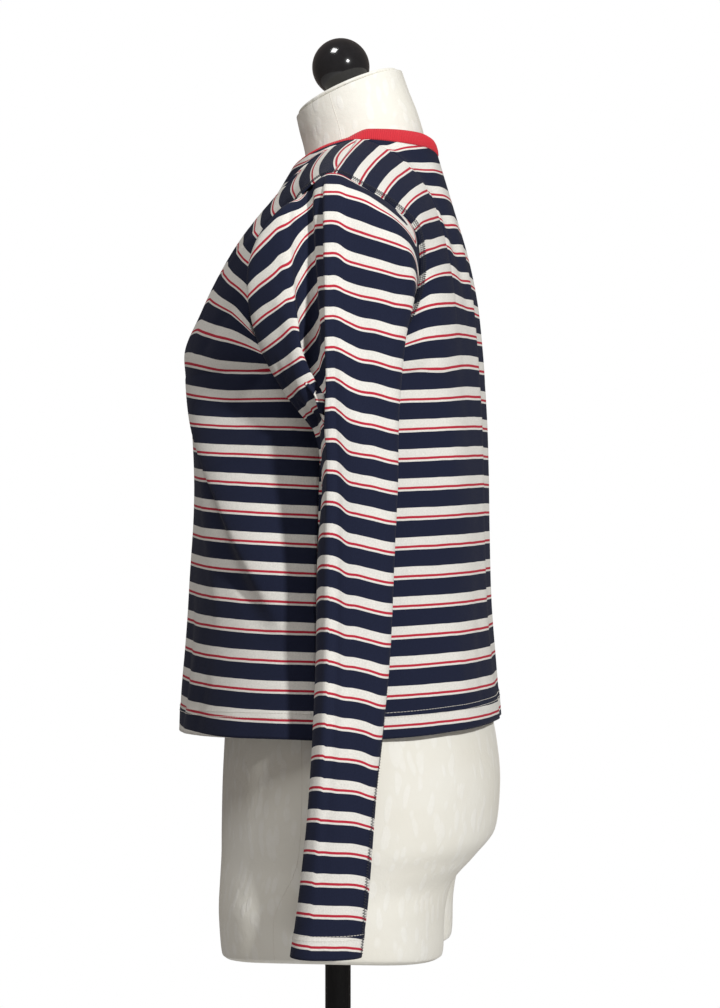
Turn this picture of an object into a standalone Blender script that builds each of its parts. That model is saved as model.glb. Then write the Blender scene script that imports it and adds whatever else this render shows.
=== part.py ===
"""Long-sleeve t-shirt worn by a limbless dress form on a pole stand.

Metres, +Z up. The origin is the middle of the stand's underside. The garment's front
faces -Y and the wearer's left is +X. The cloth panels are thin walls over smooth
surfaces, which are worked out from the short tables below.
"""
import math

import bmesh
import bpy
import numpy as np
from mathutils import Matrix, Vector

# ---------------------------------------------------------------- driving dimensions
CLOTH = 0.0018            # jersey wall
SEAM_GAP = 0.0004         # clear width left at a seam
HEM_TILT = 0.06           # how far the hem rises towards the back, per metre

COLUMNS = 10              # panel columns from the centre line to the side
LOWER_ROWS = 9            # panel rows from the hem to the underarm
UPPER_ROWS = 16           # panel rows from the underarm to the shoulder
SLEEVE_ROWS = 20          # rows from the armhole to the cuff
CROWN_CROWDING = 0.45     # how much closer the rows lie towards the shoulder

NECK_SHARE = 0.36         # share of a panel's columns that end on the neckline
NECK_HALF_WIDTH = 0.071
NECK_SIDE = (0.024, 1.3895)           # Y and Z of the shoulder seam's neck end
FRONT_NECK = (-0.0395, 1.3710)        # Y and Z of the neckline's middle, in front
BACK_NECK = (0.0865, 1.3857)          # and behind
BAND_HEIGHT = 0.0125
BAND_ROWS = 2

POLE_RADIUS = 0.011
POLE_SIDES = 24
BASE_RADIUS = 0.170
BASE_EDGE = 0.008
BASE_DOME = 0.016
HUB_RADIUS = 0.024
HUB_HEIGHT = 0.055
SLOT_HALF_WIDTH = 0.0125  # the parting between the thigh stubs
SLOT_TOP = 0.790
SLOT_CORNER = 0.0012      # bevel of the parting's roof
CAP_RADIUS = 0.0460
CAP_THICKNESS = 0.003
BALL_RADIUS = 0.0245
BALL_FOOT = 0.009
FORM_SIDES = 36
FORM_ROWS_SHOWN = 34

# Body of the shirt, from the hem up: half width, where the sides lie, how far the front
# and the back reach, and how square the front and the back are (2 is an ellipse).
#   height  half_width  side_y   front    back  front_square  back_square
BODY_SECTIONS = (
    (0.897, 0.1685, 0.004, -0.1320, 0.1375, 2.10, 2.25),
    (0.940, 0.1640, 0.003, -0.1287, 0.1335, 2.10, 2.45),
    (1.000, 0.1560, 0.002, -0.1242, 0.1280, 2.10, 2.65),
    (1.060, 0.1500, 0.002, -0.1220, 0.1258, 2.10, 2.75),
    (1.110, 0.1475, 0.003, -0.1210, 0.1250, 2.10, 2.80),
    (1.160, 0.1480, 0.005, -0.1235, 0.1235, 2.12, 2.80),
    (1.195, 0.1500, 0.008, -0.1272, 0.1215, 2.15, 2.70),
)

# Centre lines above the underarm, from the chest to the neckline.
#   y        height
FRONT_LINE = (
    (-0.1272, 1.195),
    (-0.1285, 1.217),
    (-0.1172, 1.2455),
    (-0.0985, 1.2795),
    (-0.0722, 1.3177),
    (FRONT_NECK[0], FRONT_NECK[1]),
)
BACK_LINE = (
    (0.1215, 1.195),
    (0.1195, 1.225),
    (0.1165, 1.265),
    (0.1105, 1.304),
    (0.1000, 1.342),
    (BACK_NECK[0], BACK_NECK[1]),
)

# The left armhole seam, from the shoulder tip over the front, the underarm and the back.
#   x       y       height
ARMHOLE = (
    (0.1720, 0.0165, 1.3490),
    (0.1660, -0.0080, 1.3350),
    (0.1550, -0.0230, 1.3140),
    (0.1440, -0.0370, 1.2900),
    (0.1365, -0.0500, 1.2550),
    (0.1370, -0.0480, 1.2250),
    (0.1440, -0.0270, 1.2030),
    (0.1500, 0.0080, 1.1950),
    (0.1450, 0.0450, 1.2060),
    (0.1365, 0.0730, 1.2400),
    (0.1340, 0.0820, 1.2780),
    (0.1400, 0.0790, 1.3070),
    (0.1520, 0.0630, 1.3240),
    (0.1650, 0.0410, 1.3380),
)
ARMHOLE_MIDDLE = (0.0165, 1.268)      # Y and Z that the seam is measured around
ARMHOLE_REACH = (0.068, 0.078)        # its half width and half height

# The left sleeve's sections: where the middle lies, how far the front fold and the back
# fold reach from it, half the depth from the body to the outer face, how far the section
# has turned from upright (degrees), and the valley in front of the crown.
#   x      y       height  front   back    depth   turn  valley
SLEEVE_SECTIONS = (
    (0.1740, 0.0165, 1.262, 0.0670, 0.0660, 0.0700, 12.0, 0.008),
    (0.1795, 0.0175, 1.230, 0.0620, 0.0590, 0.0550, 20.0, 0.019),
    (0.1820, 0.0185, 1.190, 0.0460, 0.0540, 0.0400, 32.0, 0.022),
    (0.1840, 0.0200, 1.150, 0.0240, 0.0500, 0.0290, 48.0, 0.012),
    (0.1850, 0.0215, 1.105, 0.0150, 0.0475, 0.0225, 68.0, 0.004),
    (0.1860, 0.0215, 1.050, 0.0145, 0.0450, 0.0200, 82.0, 0.000),
    (0.1880, 0.0205, 0.960, 0.0150, 0.0420, 0.0192, 88.0, 0.000),
    (0.1915, 0.0170, 0.880, 0.0150, 0.0380, 0.0195, 90.0, 0.000),
    (0.1935, 0.0110, 0.800, 0.0155, 0.0375, 0.0200, 90.0, 0.000),
    (0.1945, 0.0070, 0.739, 0.0200, 0.0350, 0.0205, 90.0, 0.000),
)
VALLEY_ANGLE = 20.0       # where the valley lies, from the crown towards the front
VALLEY_WIDTH = 8.0

# The dress form, from the thigh stubs to the neck: half width, front and back reach, how
# square the section is, and how far its back stands above its front (degrees).
#   height  half_width  front   back   square  tilt
FORM_SECTIONS = (
    (0.7100, 0.1460, -0.0800, 0.0790, 2.3, 0.0),
    (0.7130, 0.1530, -0.0880, 0.0870, 2.3, 0.0),
    (0.7220, 0.1570, -0.0930, 0.0920, 2.3, 0.0),
    (0.7550, 0.1600, -0.0960, 0.0955, 2.2, 0.0),
    (0.7750, 0.1610, -0.0968, 0.1040, 2.1, 0.0),
    (0.7950, 0.1620, -0.0972, 0.1210, 2.0, 0.0),
    (0.8150, 0.1630, -0.0972, 0.1340, 2.0, 0.0),
    (0.8530, 0.1630, -0.0965, 0.1380, 2.0, 0.0),
    (0.8850, 0.1625, -0.0950, 0.1355, 2.0, 0.0),
    (0.9200, 0.1580, -0.0930, 0.1290, 2.0, 0.0),
    (0.9700, 0.1470, -0.0890, 0.1170, 2.0, 0.0),
    (1.0300, 0.1310, -0.0840, 0.1020, 2.0, 0.0),
    (1.0700, 0.1270, -0.0850, 0.1000, 2.0, 0.0),
    (1.1200, 0.1330, -0.0930, 0.1050, 2.0, 0.0),
    (1.1700, 0.1410, -0.1100, 0.1110, 2.0, 0.0),
    (1.2120, 0.1430, -0.1230, 0.1130, 2.0, 0.0),
    (1.2450, 0.1360, -0.1090, 0.1120, 2.0, 0.0),
    (1.2800, 0.1330, -0.0880, 0.1080, 2.0, 0.0),
    (1.3100, 0.1420, -0.0690, 0.1030, 1.9, 0.0),
    (1.3300, 0.1480, -0.0555, 0.0955, 1.8, 0.0),
    (1.3450, 0.1470, -0.0460, 0.0900, 1.6, 0.0),
    (1.3570, 0.1265, -0.0390, 0.0840, 1.5, 2.0),
    (1.3680, 0.1010, -0.0330, 0.0785, 1.6, 5.0),
    (1.3780, 0.0720, -0.0285, 0.0745, 1.8, 8.0),
    (1.3900, 0.0560, -0.0270, 0.0740, 2.0, 11.0),
    (1.4080, 0.0500, -0.0285, 0.0640, 2.0, 17.0),
    (1.4260, 0.0465, -0.0315, 0.0540, 2.0, 22.0),
    (1.4430, 0.0450, -0.0335, 0.0475, 2.0, 26.6),
)

# Principled finishes: colour, roughness, metallic.
FINISHES = {
    "striped_jersey": ((0.06, 0.07, 0.11), 0.9, 0.0),
    "red_rib": ((0.55, 0.03, 0.05), 0.85, 0.0),
    "form_cover": ((0.78, 0.74, 0.66), 0.75, 0.0),
    "black_gloss": ((0.010, 0.010, 0.011), 0.15, 0.0),
    "black_metal": ((0.012, 0.012, 0.013), 0.40, 1.0),
}


# ---------------------------------------------------------------- curves
def through(keys, values, at):
    """Smooth curve through the values at rising keys, read at each place in at."""
    keys = np.asarray(keys, float)
    values = np.asarray(values, float)
    at = np.clip(np.atleast_1d(np.asarray(at, float)), keys[0], keys[-1])
    slopes = np.gradient(values, keys, axis=0)
    span = np.clip(np.searchsorted(keys, at, side="right") - 1, 0, len(keys) - 2)
    shape = (-1,) + (1,) * (values.ndim - 1)
    width = (keys[span + 1] - keys[span]).reshape(shape)
    part = (at - keys[span]).reshape(shape) / width
    return hermite(values[span], slopes[span] * width, values[span + 1], slopes[span + 1] * width, part)


def hermite(start, start_slope, end, end_slope, part):
    """Cubic from start to end with the given slopes."""
    square = part * part
    cube = square * part
    return (start * (2 * cube - 3 * square + 1) + start_slope * (cube - 2 * square + part)
            + end * (3 * square - 2 * cube) + end_slope * (cube - square))


def chord_keys(points):
    """Rising keys for a row of points, from the distances between them, 0 to 1."""
    steps = np.linalg.norm(np.diff(points, axis=0), axis=-1)
    if steps.ndim > 1:
        steps = steps.mean(axis=1)
    keys = np.concatenate(([0.0], np.cumsum(steps)))
    return keys / keys[-1]


def rounded(angle, square):
    """Sine and cosine of an angle, pushed out towards a square."""
    power = 2.0 / square
    sine = np.sign(np.sin(angle)) * np.abs(np.sin(angle)) ** power
    cosine = np.sign(np.cos(angle)) * np.abs(np.cos(angle)) ** power
    return sine, cosine


def smooth_step(low, high, at):
    """0 below low, 1 above high, and an S between."""
    part = np.clip((at - low) / (high - low), 0.0, 1.0)
    return part * part * (3 - 2 * part)


# ---------------------------------------------------------------- shirt surfaces
def armhole_angles():
    """Angle of each armhole point from the shoulder tip, rising over the front."""
    rows = np.array(ARMHOLE)
    forward = (ARMHOLE_MIDDLE[0] - rows[:, 1]) / ARMHOLE_REACH[0]
    upward = (rows[:, 2] - ARMHOLE_MIDDLE[1]) / ARMHOLE_REACH[1]
    return np.mod(np.arctan2(forward, upward), 2 * math.pi)


def armhole(angle):
    """Points of the left armhole seam at angles from the shoulder tip."""
    angles = armhole_angles()
    rows = np.array(ARMHOLE)
    turn = 2 * math.pi
    keys = np.concatenate((angles - turn, angles, angles + turn))
    return through(keys, np.concatenate((rows, rows, rows)), np.mod(angle, turn))


def armhole_side(share, side):
    """The armhole from the underarm (0) to the shoulder tip (1); side -1 front, 1 back."""
    bend = math.pi * (1.0 - np.atleast_1d(share))
    return armhole(bend if side < 0 else -bend)


def body_section(height):
    """The body table read at a height."""
    rows = np.array(BODY_SECTIONS)
    return through(rows[:, 0], rows[:, 1:], height)


def lower_panel(across, height, side):
    """Half a panel below the underarm: across 0 at the centre, 1 at the side seam."""
    half_width, side_y, front, back, front_square, back_square = body_section(height).T
    reach, square = (front, front_square) if side < 0 else (back, back_square)
    angle = across[None, :] * math.pi / 2
    sine, cosine = rounded(angle, square[:, None])
    x = half_width[:, None] * sine
    y = side_y[:, None] + (reach - side_y)[:, None] * cosine
    top = BODY_SECTIONS[-1][0]
    bottom = BODY_SECTIONS[0][0]
    fade = (top - height[:, None]) / (top - bottom)
    z = height[:, None] + HEM_TILT * y * fade
    return np.stack((x, y, z), axis=-1)


def top_edge(across, side):
    """Neckline from the centre to the neck point, then the shoulder seam to its tip."""
    neck_y, neck_z = FRONT_NECK if side < 0 else BACK_NECK
    bend = np.clip(across / NECK_SHARE, 0, 1) * math.pi / 2
    slide = np.clip((across - NECK_SHARE) / (1 - NECK_SHARE), 0, 1)[:, None]
    x = NECK_HALF_WIDTH * np.sin(bend)
    y = NECK_SIDE[0] + (neck_y - NECK_SIDE[0]) * np.cos(bend)
    z = NECK_SIDE[1] + (neck_z - NECK_SIDE[1]) * np.cos(bend) ** 1.5
    tip = np.array(ARMHOLE[0])
    neck_point = np.array((NECK_HALF_WIDTH, *NECK_SIDE))
    return np.stack((x, y, z), axis=-1) + slide * (tip - neck_point)


def upper_panel(across, up, side):
    """Half a panel above the underarm, filled in between its four edges."""
    line = np.array(FRONT_LINE if side < 0 else BACK_LINE)
    line = np.concatenate((np.zeros((len(line), 1)), line), axis=1)
    line_keys = chord_keys(line)
    step = 1e-3
    centre = through(line_keys, line, up)
    edge = armhole_side(up, side)
    base = lower_panel(across, np.array([BODY_SECTIONS[-1][0]]), side)[0]
    top = top_edge(across, side)
    centre_end = (through(line_keys, line, [1.0]) - through(line_keys, line, [1 - step])) / step
    edge_end = (armhole_side(1.0, side) - armhole_side(1 - step, side)) / step
    to_shoulder = smooth_step(0.4 * NECK_SHARE, NECK_SHARE + 0.04, across)[:, None]
    top_slope = (1 - to_shoulder) * centre_end + to_shoulder * edge_end
    length = np.linalg.norm(np.diff(line, axis=0), axis=1).sum()
    base_slope = np.tile((0.0, 0.0, length), (len(across), 1))
    part = up[:, None, None]
    filled = hermite(base[None], base_slope[None], top[None], top_slope[None], part)
    first = lower_panel(np.array([0.0, 1.0]), np.array([BODY_SECTIONS[-1][0]]), side)[0]
    last = top_edge(np.array([0.0, 1.0]), side)
    end_slopes = np.concatenate((centre_end, edge_end))
    ends = hermite(first[None], base_slope[None, :2], last[None], end_slopes[None], part)
    weight = (across ** 2)[None, :, None]
    return (filled + (1 - weight) * (centre[:, None] - ends[:, :1])
            + weight * (edge[:, None] - ends[:, 1:]))


def panel(across, up, side):
    """Half a panel: up runs -1 at the hem, 0 at the underarm, 1 at the shoulder."""
    bottom = BODY_SECTIONS[0][0]
    top = BODY_SECTIONS[-1][0]
    low = up < 0
    rows = []
    if low.any():
        rows.append(lower_panel(across, bottom + (top - bottom) * (1 + up[low]), side))
    if not low.all():
        rows.append(upper_panel(across, up[~low], side))
    return np.concatenate(rows)


def normals(surface, first, second):
    """Unit normals of surface(first, second), from small steps inside its limits."""
    step = 1e-4

    def slope(axis):
        keys = (first, second)[axis]
        ahead = np.minimum(keys + step, keys.max())
        behind = np.maximum(keys - step, keys.min())
        ends = [(ahead, second), (behind, second)] if axis == 0 else [(first, ahead), (first, behind)]
        return surface(*ends[0]) - surface(*ends[1])

    normal = np.cross(slope(0), slope(1))
    return normal / np.linalg.norm(normal, axis=-1, keepdims=True)


def crowded(count):
    """Shares from 0 to 1 that lie closer together towards 1, where the sleeve's crown is."""
    even = np.linspace(0.0, 1.0, count + 1)
    return even + CROWN_CROWDING / math.pi * np.sin(math.pi * even)


def armhole_facing(share, side):
    """The panel's unit normals along its armhole, from the underarm to the shoulder tip."""
    facing = normals(lambda across, up: panel(across, up, side), np.array([0.9, 1.0]), share)[:, 1]
    return facing if facing[:, 0].mean() > 0 else -facing


def sleeve_keys(angle):
    """The sleeve's key sections at the given angles from the crown, armhole first."""
    rings = [armhole(angle)]
    for x, y, height, front, back, depth, turn, valley in SLEEVE_SECTIONS:
        off = (np.degrees(angle) - VALLEY_ANGLE + 180.0) % 360.0 - 180.0
        trough = valley * np.exp(-(off / VALLEY_WIDTH) ** 2)
        forward = np.where(np.sin(angle) > 0, front, back) * np.sin(angle)
        outward = depth * np.cos(angle) - trough
        lean = math.radians(turn)
        rings.append(np.stack((x + outward * math.sin(lean), y - forward,
                               height + outward * math.cos(lean)), axis=-1))
    return np.array(rings)


def sleeve(angle, along):
    """The left sleeve's outer face: angle from the crown, along 0 at the armhole, 1 at the cuff."""
    rings = sleeve_keys(angle)
    even = sleeve_keys(np.linspace(0, 2 * math.pi, 48, endpoint=False))
    return through(chord_keys(even), rings, along)


# ---------------------------------------------------------------- mesh helpers
def finish(name):
    """A Principled material for one finish."""
    colour, roughness, metallic = FINISHES[name]
    material = bpy.data.materials.get(name) or bpy.data.materials.new(name)
    material.use_nodes = True
    shader = material.node_tree.nodes["Principled BSDF"]
    shader.inputs["Base Color"].default_value = (*colour, 1.0)
    shader.inputs["Roughness"].default_value = roughness
    shader.inputs["Metallic"].default_value = metallic
    return material


def named_object(name, mesh_data, finish_name):
    """Turn a bmesh into a named, smooth-shaded object."""
    bmesh.ops.recalc_face_normals(mesh_data, faces=mesh_data.faces[:])
    mesh = bpy.data.meshes.new(name)
    mesh_data.to_mesh(mesh)
    mesh_data.free()
    mesh.shade_smooth()
    mesh.set_sharp_from_angle(angle=math.radians(50))
    mesh.materials.append(finish(finish_name))
    thing = bpy.data.objects.new(name, mesh)
    bpy.context.collection.objects.link(thing)
    return thing


def laid_grid(points, tube):
    """A grid of faces over rows of points; a tube's last column closes on its first."""
    rows, columns = points.shape[:2]
    around = columns if tube else columns - 1
    sheet = bmesh.new()
    place = sheet.verts.layers.int.new("place")
    bmesh.ops.create_grid(sheet, x_segments=around, y_segments=rows - 1, size=0.5)
    for vert in sheet.verts:
        column = round((vert.co.x + 0.5) * around) % columns
        row = round((vert.co.y + 0.5) * (rows - 1))
        vert[place] = row * columns + column
        vert.co = Vector(points[row, column])
    if tube:
        bmesh.ops.remove_doubles(sheet, verts=sheet.verts[:], dist=1e-6)
    return sheet, place


def cloth_wall(name, outer, inner, finish_name, tube=False):
    """A closed wall between an outer and an inner grid of points."""
    sheet, place = laid_grid(outer, tube)
    inner_points = inner.reshape(-1, 3)
    grown = bmesh.ops.extrude_face_region(sheet, geom=sheet.faces[:])
    for vert in (item for item in grown["geom"] if isinstance(item, bmesh.types.BMVert)):
        vert.co = Vector(inner_points[vert[place]])
    return named_object(name, sheet, finish_name)


def turned(name, profile, finish_name, sides, placing=None):
    """A solid of revolution about +Z from (radius, height) points, bottom to top."""
    lathe = bmesh.new()
    verts = [lathe.verts.new((radius, 0.0, height)) for radius, height in profile]
    edges = [lathe.edges.new(pair) for pair in zip(verts, verts[1:])]
    bmesh.ops.spin(lathe, geom=verts + edges, cent=(0, 0, 0), axis=(0, 0, 1), dvec=(0, 0, 0),
                   angle=2 * math.pi, steps=sides, use_merge=True, use_duplicate=False)
    bmesh.ops.remove_doubles(lathe, verts=lathe.verts[:], dist=1e-6)
    if placing is not None:
        bmesh.ops.transform(lathe, matrix=placing, verts=lathe.verts[:])
    return named_object(name, lathe, finish_name)


# ---------------------------------------------------------------- shirt pieces
def mirrored(half, normal):
    """A whole panel from its left half, with the centre column used once."""
    flip = np.array((-1.0, 1.0, 1.0))
    return (np.concatenate((half[:, :0:-1] * flip, half), axis=1),
            np.concatenate((normal[:, :0:-1] * flip, normal), axis=1))


def make_panel(name, side):
    """Front (side -1) or back (side 1) panel, parted a little from the other at its seams."""
    neck_columns = round(COLUMNS * NECK_SHARE)
    across = np.concatenate((np.linspace(0, NECK_SHARE, neck_columns + 1)[:-1],
                             np.linspace(NECK_SHARE, 1, COLUMNS - neck_columns + 1)))
    up = np.concatenate((np.linspace(-1, 0, LOWER_ROWS + 1)[:-1], crowded(UPPER_ROWS)))

    def surface(columns, rows):
        return panel(columns, rows, side)

    half = surface(across, up)
    normal = normals(surface, across, up)
    if (normal[:, :, 1] * side).mean() < 0:
        normal = -normal
    shift = np.zeros(half.shape)
    shift[: LOWER_ROWS + 1, -1, 1] = side * SEAM_GAP / 2
    shift[-1, neck_columns:, 1] = side * SEAM_GAP / 2
    points, facing = mirrored(half + shift, normal)
    return cloth_wall(name, points, points - CLOTH * facing, "striped_jersey")


def make_sleeve(name, flip):
    """One sleeve; its first ring uses the armhole points of the panels' rows."""
    share = crowded(UPPER_ROWS)
    front = math.pi * (1 - share[::-1])
    back = 2 * math.pi - math.pi * (1 - share)
    angle = np.concatenate((front, back[1:-1]))
    along = np.linspace(0, 1, SLEEVE_ROWS + 1) ** 1.25
    points = sleeve(angle, along)
    step = 1e-3
    around = sleeve(angle + step, along) - sleeve(angle - step, along)
    ahead = sleeve(angle, np.minimum(along + step, 1)) - sleeve(angle, np.maximum(along - step, 0))
    normal = np.cross(around, ahead)
    normal /= np.linalg.norm(normal, axis=-1, keepdims=True)
    outward = points - points.mean(axis=1, keepdims=True)
    if (normal * outward).sum() < 0:
        normal = -normal
    seam = np.concatenate((armhole_facing(share, -1)[::-1], armhole_facing(share, 1)[1:-1]))
    with_panel = (1 + np.cos(angle[:, None])) / 2
    normal[0] += with_panel * (seam - normal[0])
    normal[0] /= np.linalg.norm(normal[0], axis=-1, keepdims=True)
    start = points[1] - points[0]
    points[0] += 1.6 * SEAM_GAP * start / np.linalg.norm(start, axis=-1, keepdims=True)
    inner = points - CLOTH * normal
    mirror = np.array((flip, 1.0, 1.0))
    return cloth_wall(name, points * mirror, inner * mirror, "striped_jersey", tube=True)


def neck_ring():
    """The neckline all round from the front's middle, and the way the panels face there."""
    across = np.linspace(0, NECK_SHARE, round(COLUMNS * NECK_SHARE) + 1)
    past_neck = np.append(across, 1.0)
    edges = []
    for side in (-1, 1):
        whole = normals(lambda columns, up: panel(columns, up, side), past_neck, np.array([0.9, 1.0]))
        facing = whole[-1, :-1]
        facing = facing * np.sign(facing[0, 1] * side)
        edges.append(np.stack((top_edge(across, side), facing)))
    front, back = edges[0], edges[1][:, ::-1]
    front[1, -1] = (front[1, -1] + back[1, 0]) / 2
    left = np.concatenate((front, back[:, 1:]), axis=1)
    right = left[:, -2:0:-1] * np.array((-1.0, 1.0, 1.0))
    return np.concatenate((left, right), axis=1)


def make_neckband():
    """The rib band, which carries on from the panels at the neckline."""
    ring, facing = neck_ring()
    rise = np.cross(facing, np.roll(ring, -1, axis=0) - np.roll(ring, 1, axis=0))
    rise /= np.linalg.norm(rise, axis=1, keepdims=True)
    rise *= np.sign(rise[:, 2:])
    heights = np.linspace(SEAM_GAP, BAND_HEIGHT, BAND_ROWS + 1)
    outer = ring[None] + heights[:, None, None] * rise[None]
    return cloth_wall("neckband", outer, outer - CLOTH * facing[None], "red_rib", tube=True)


# ---------------------------------------------------------------- dress form and stand
def make_torso():
    """The covered form: lofted sections, closed at both ends, parted between the thighs."""
    rows = np.array(FORM_SECTIONS)
    keys = np.arange(len(rows), dtype=float)
    table = through(keys, rows, np.linspace(0, keys[-1], FORM_ROWS_SHOWN))
    angle = np.linspace(0, 2 * math.pi, FORM_SIDES, endpoint=False)
    rings = []
    for height, half_width, front, back, square, tilt in table:
        sine, cosine = rounded(angle, square)
        middle = (front + back) / 2
        y = middle - (back - front) / 2 * cosine
        rings.append(np.stack((half_width * sine, y,
                               height + (y - middle) * math.tan(math.radians(tilt))), axis=-1))
    body, _ = laid_grid(np.array(rings), tube=True)
    bmesh.ops.holes_fill(body, edges=[edge for edge in body.edges if edge.is_boundary])
    torso = named_object("form_torso", body, "form_cover")
    cut = torso.modifiers.new("thigh_parting", "BOOLEAN")
    cut.operation = "DIFFERENCE"
    cut.solver = "EXACT"
    cut.object = make_slot_cutter()
    return torso


def make_slot_cutter():
    """A flat-roofed slot along Y, open below the form."""
    sheet = bmesh.new()
    depth = 0.3
    floor = 0.6
    corner = SLOT_CORNER
    outline = [(SLOT_HALF_WIDTH, floor), (SLOT_HALF_WIDTH, SLOT_TOP - corner),
               (SLOT_HALF_WIDTH - corner, SLOT_TOP), (corner - SLOT_HALF_WIDTH, SLOT_TOP),
               (-SLOT_HALF_WIDTH, SLOT_TOP - corner), (-SLOT_HALF_WIDTH, floor)]
    face = sheet.faces.new([sheet.verts.new((x, -depth, z)) for x, z in outline])
    grown = bmesh.ops.extrude_face_region(sheet, geom=[face])
    moved = [item for item in grown["geom"] if isinstance(item, bmesh.types.BMVert)]
    bmesh.ops.translate(sheet, verts=moved, vec=(0, 2 * depth, 0))
    cutter = named_object("slot_cutter", sheet, "form_cover")
    cutter.hide_render = True
    cutter.display_type = "WIRE"
    return cutter


def neck_placing(rise):
    """The neck's end plane, moved up its own normal."""
    height, _, front, back, _, tilt = FORM_SECTIONS[-1]
    turn = Matrix.Rotation(math.radians(tilt), 4, "X")
    return Matrix.Translation((0, (front + back) / 2, height)) @ turn @ Matrix.Translation((0, 0, rise))


def make_neck_cap():
    """The disc that closes the neck."""
    edge = 0.0012
    profile = ((0.0, 0.0), (CAP_RADIUS - edge, 0.0), (CAP_RADIUS, edge),
               (CAP_RADIUS, CAP_THICKNESS - edge), (CAP_RADIUS - edge, CAP_THICKNESS), (0.0, CAP_THICKNESS))
    return turned("neck_cap", profile, "form_cover", FORM_SIDES, neck_placing(SEAM_GAP))


def make_finial():
    """The ball, flattened a little where it stands on the cap."""
    start = math.asin(BALL_FOOT / BALL_RADIUS)
    sink = BALL_RADIUS * math.cos(start)
    steps = 14
    profile = [(0.0, 0.0)]
    for step in range(steps + 1):
        turn = start + (math.pi - start) * step / steps
        profile.append((BALL_RADIUS * math.sin(turn), sink - BALL_RADIUS * math.cos(turn)))
    profile[-1] = (0.0, sink + BALL_RADIUS)
    return turned("finial_ball", profile, "black_gloss", 28, neck_placing(2 * SEAM_GAP + CAP_THICKNESS))


def make_pole():
    """The pole, from the base's hub up into the parting of the form."""
    low = HUB_HEIGHT + SEAM_GAP
    high = SLOT_TOP - SEAM_GAP
    pole = bmesh.new()
    placing = Matrix.Translation((0, 0, (low + high) / 2))
    bmesh.ops.create_cone(pole, cap_ends=True, segments=POLE_SIDES, radius1=POLE_RADIUS,
                          radius2=POLE_RADIUS, depth=high - low, matrix=placing)
    return named_object("stand_pole", pole, "black_metal")


def make_base():
    """A round weighted plate with a low dome and a hub under the pole."""
    profile = ((0.0, 0.0), (BASE_RADIUS - 0.002, 0.0), (BASE_RADIUS, 0.002),
               (BASE_RADIUS, BASE_EDGE - 0.002), (BASE_RADIUS - 0.002, BASE_EDGE),
               (0.6 * BASE_RADIUS, BASE_DOME - 0.002), (HUB_RADIUS + 0.004, BASE_DOME),
               (HUB_RADIUS, BASE_DOME + 0.004), (HUB_RADIUS, HUB_HEIGHT - 0.003),
               (HUB_RADIUS - 0.003, HUB_HEIGHT), (0.0, HUB_HEIGHT))
    return turned("stand_base", profile, "black_metal", 48)


def main():
    """Clear the scene and build every piece."""
    for thing in list(bpy.data.objects):
        bpy.data.objects.remove(thing, do_unlink=True)
    make_panel("shirt_front", -1)
    make_panel("shirt_back", 1)
    make_sleeve("sleeve_left", 1.0)
    make_sleeve("sleeve_right", -1.0)
    make_neckband()
    make_torso()
    make_neck_cap()
    make_finial()
    make_pole()
    make_base()


main()
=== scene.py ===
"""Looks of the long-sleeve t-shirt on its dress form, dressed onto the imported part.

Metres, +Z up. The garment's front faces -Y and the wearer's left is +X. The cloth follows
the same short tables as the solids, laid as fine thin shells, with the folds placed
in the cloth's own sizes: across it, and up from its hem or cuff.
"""

import logging
import math
from dataclasses import dataclass
from enum import Enum
from typing import Sequence

import bmesh
import bpy
import numpy as np
from mathutils import Matrix, Vector


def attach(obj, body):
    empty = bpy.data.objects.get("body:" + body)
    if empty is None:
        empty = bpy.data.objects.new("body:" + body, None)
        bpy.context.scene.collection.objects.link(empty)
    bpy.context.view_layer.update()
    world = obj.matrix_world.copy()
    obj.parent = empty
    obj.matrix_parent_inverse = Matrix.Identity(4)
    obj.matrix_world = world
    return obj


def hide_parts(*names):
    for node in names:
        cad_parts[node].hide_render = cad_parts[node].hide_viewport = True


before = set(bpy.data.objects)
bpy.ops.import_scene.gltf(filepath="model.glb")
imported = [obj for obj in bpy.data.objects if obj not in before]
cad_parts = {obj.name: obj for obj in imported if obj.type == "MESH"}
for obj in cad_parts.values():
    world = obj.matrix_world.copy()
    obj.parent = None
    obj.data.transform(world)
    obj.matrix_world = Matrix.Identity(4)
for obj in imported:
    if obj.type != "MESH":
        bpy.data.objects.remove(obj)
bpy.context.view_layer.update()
LOG = logging.getLogger("striped_shirt")
UV_NAME = "cloth"
BODY = "root"
WHITE = (1.0, 1.0, 1.0)

# Body of the shirt, from the hem up.
#   height  half_width  side_y   front    back  front_square  back_square
BODY_SECTIONS = (
    (0.897, 0.1685, 0.004, -0.132, 0.1375, 2.1, 2.25),
    (0.94, 0.164, 0.003, -0.1287, 0.1335, 2.1, 2.45),
    (1.0, 0.156, 0.002, -0.1242, 0.128, 2.1, 2.65),
    (1.06, 0.15, 0.002, -0.122, 0.1258, 2.1, 2.75),
    (1.11, 0.1475, 0.003, -0.121, 0.125, 2.1, 2.8),
    (1.16, 0.148, 0.005, -0.1235, 0.1235, 2.12, 2.8),
    (1.195, 0.15, 0.008, -0.1272, 0.1215, 2.15, 2.7),
)

# Centre lines above the underarm, from the chest to the neckline.
#   y        height
FRONT_LINE = (
    (-0.1272, 1.195),
    (-0.1285, 1.217),
    (-0.1172, 1.2455),
    (-0.0985, 1.2795),
    (-0.0722, 1.3177),
    (-0.0395, 1.371),
)
BACK_LINE = (
    (0.1215, 1.195),
    (0.1195, 1.225),
    (0.1165, 1.265),
    (0.1105, 1.304),
    (0.1, 1.342),
    (0.0865, 1.3857),
)

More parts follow.
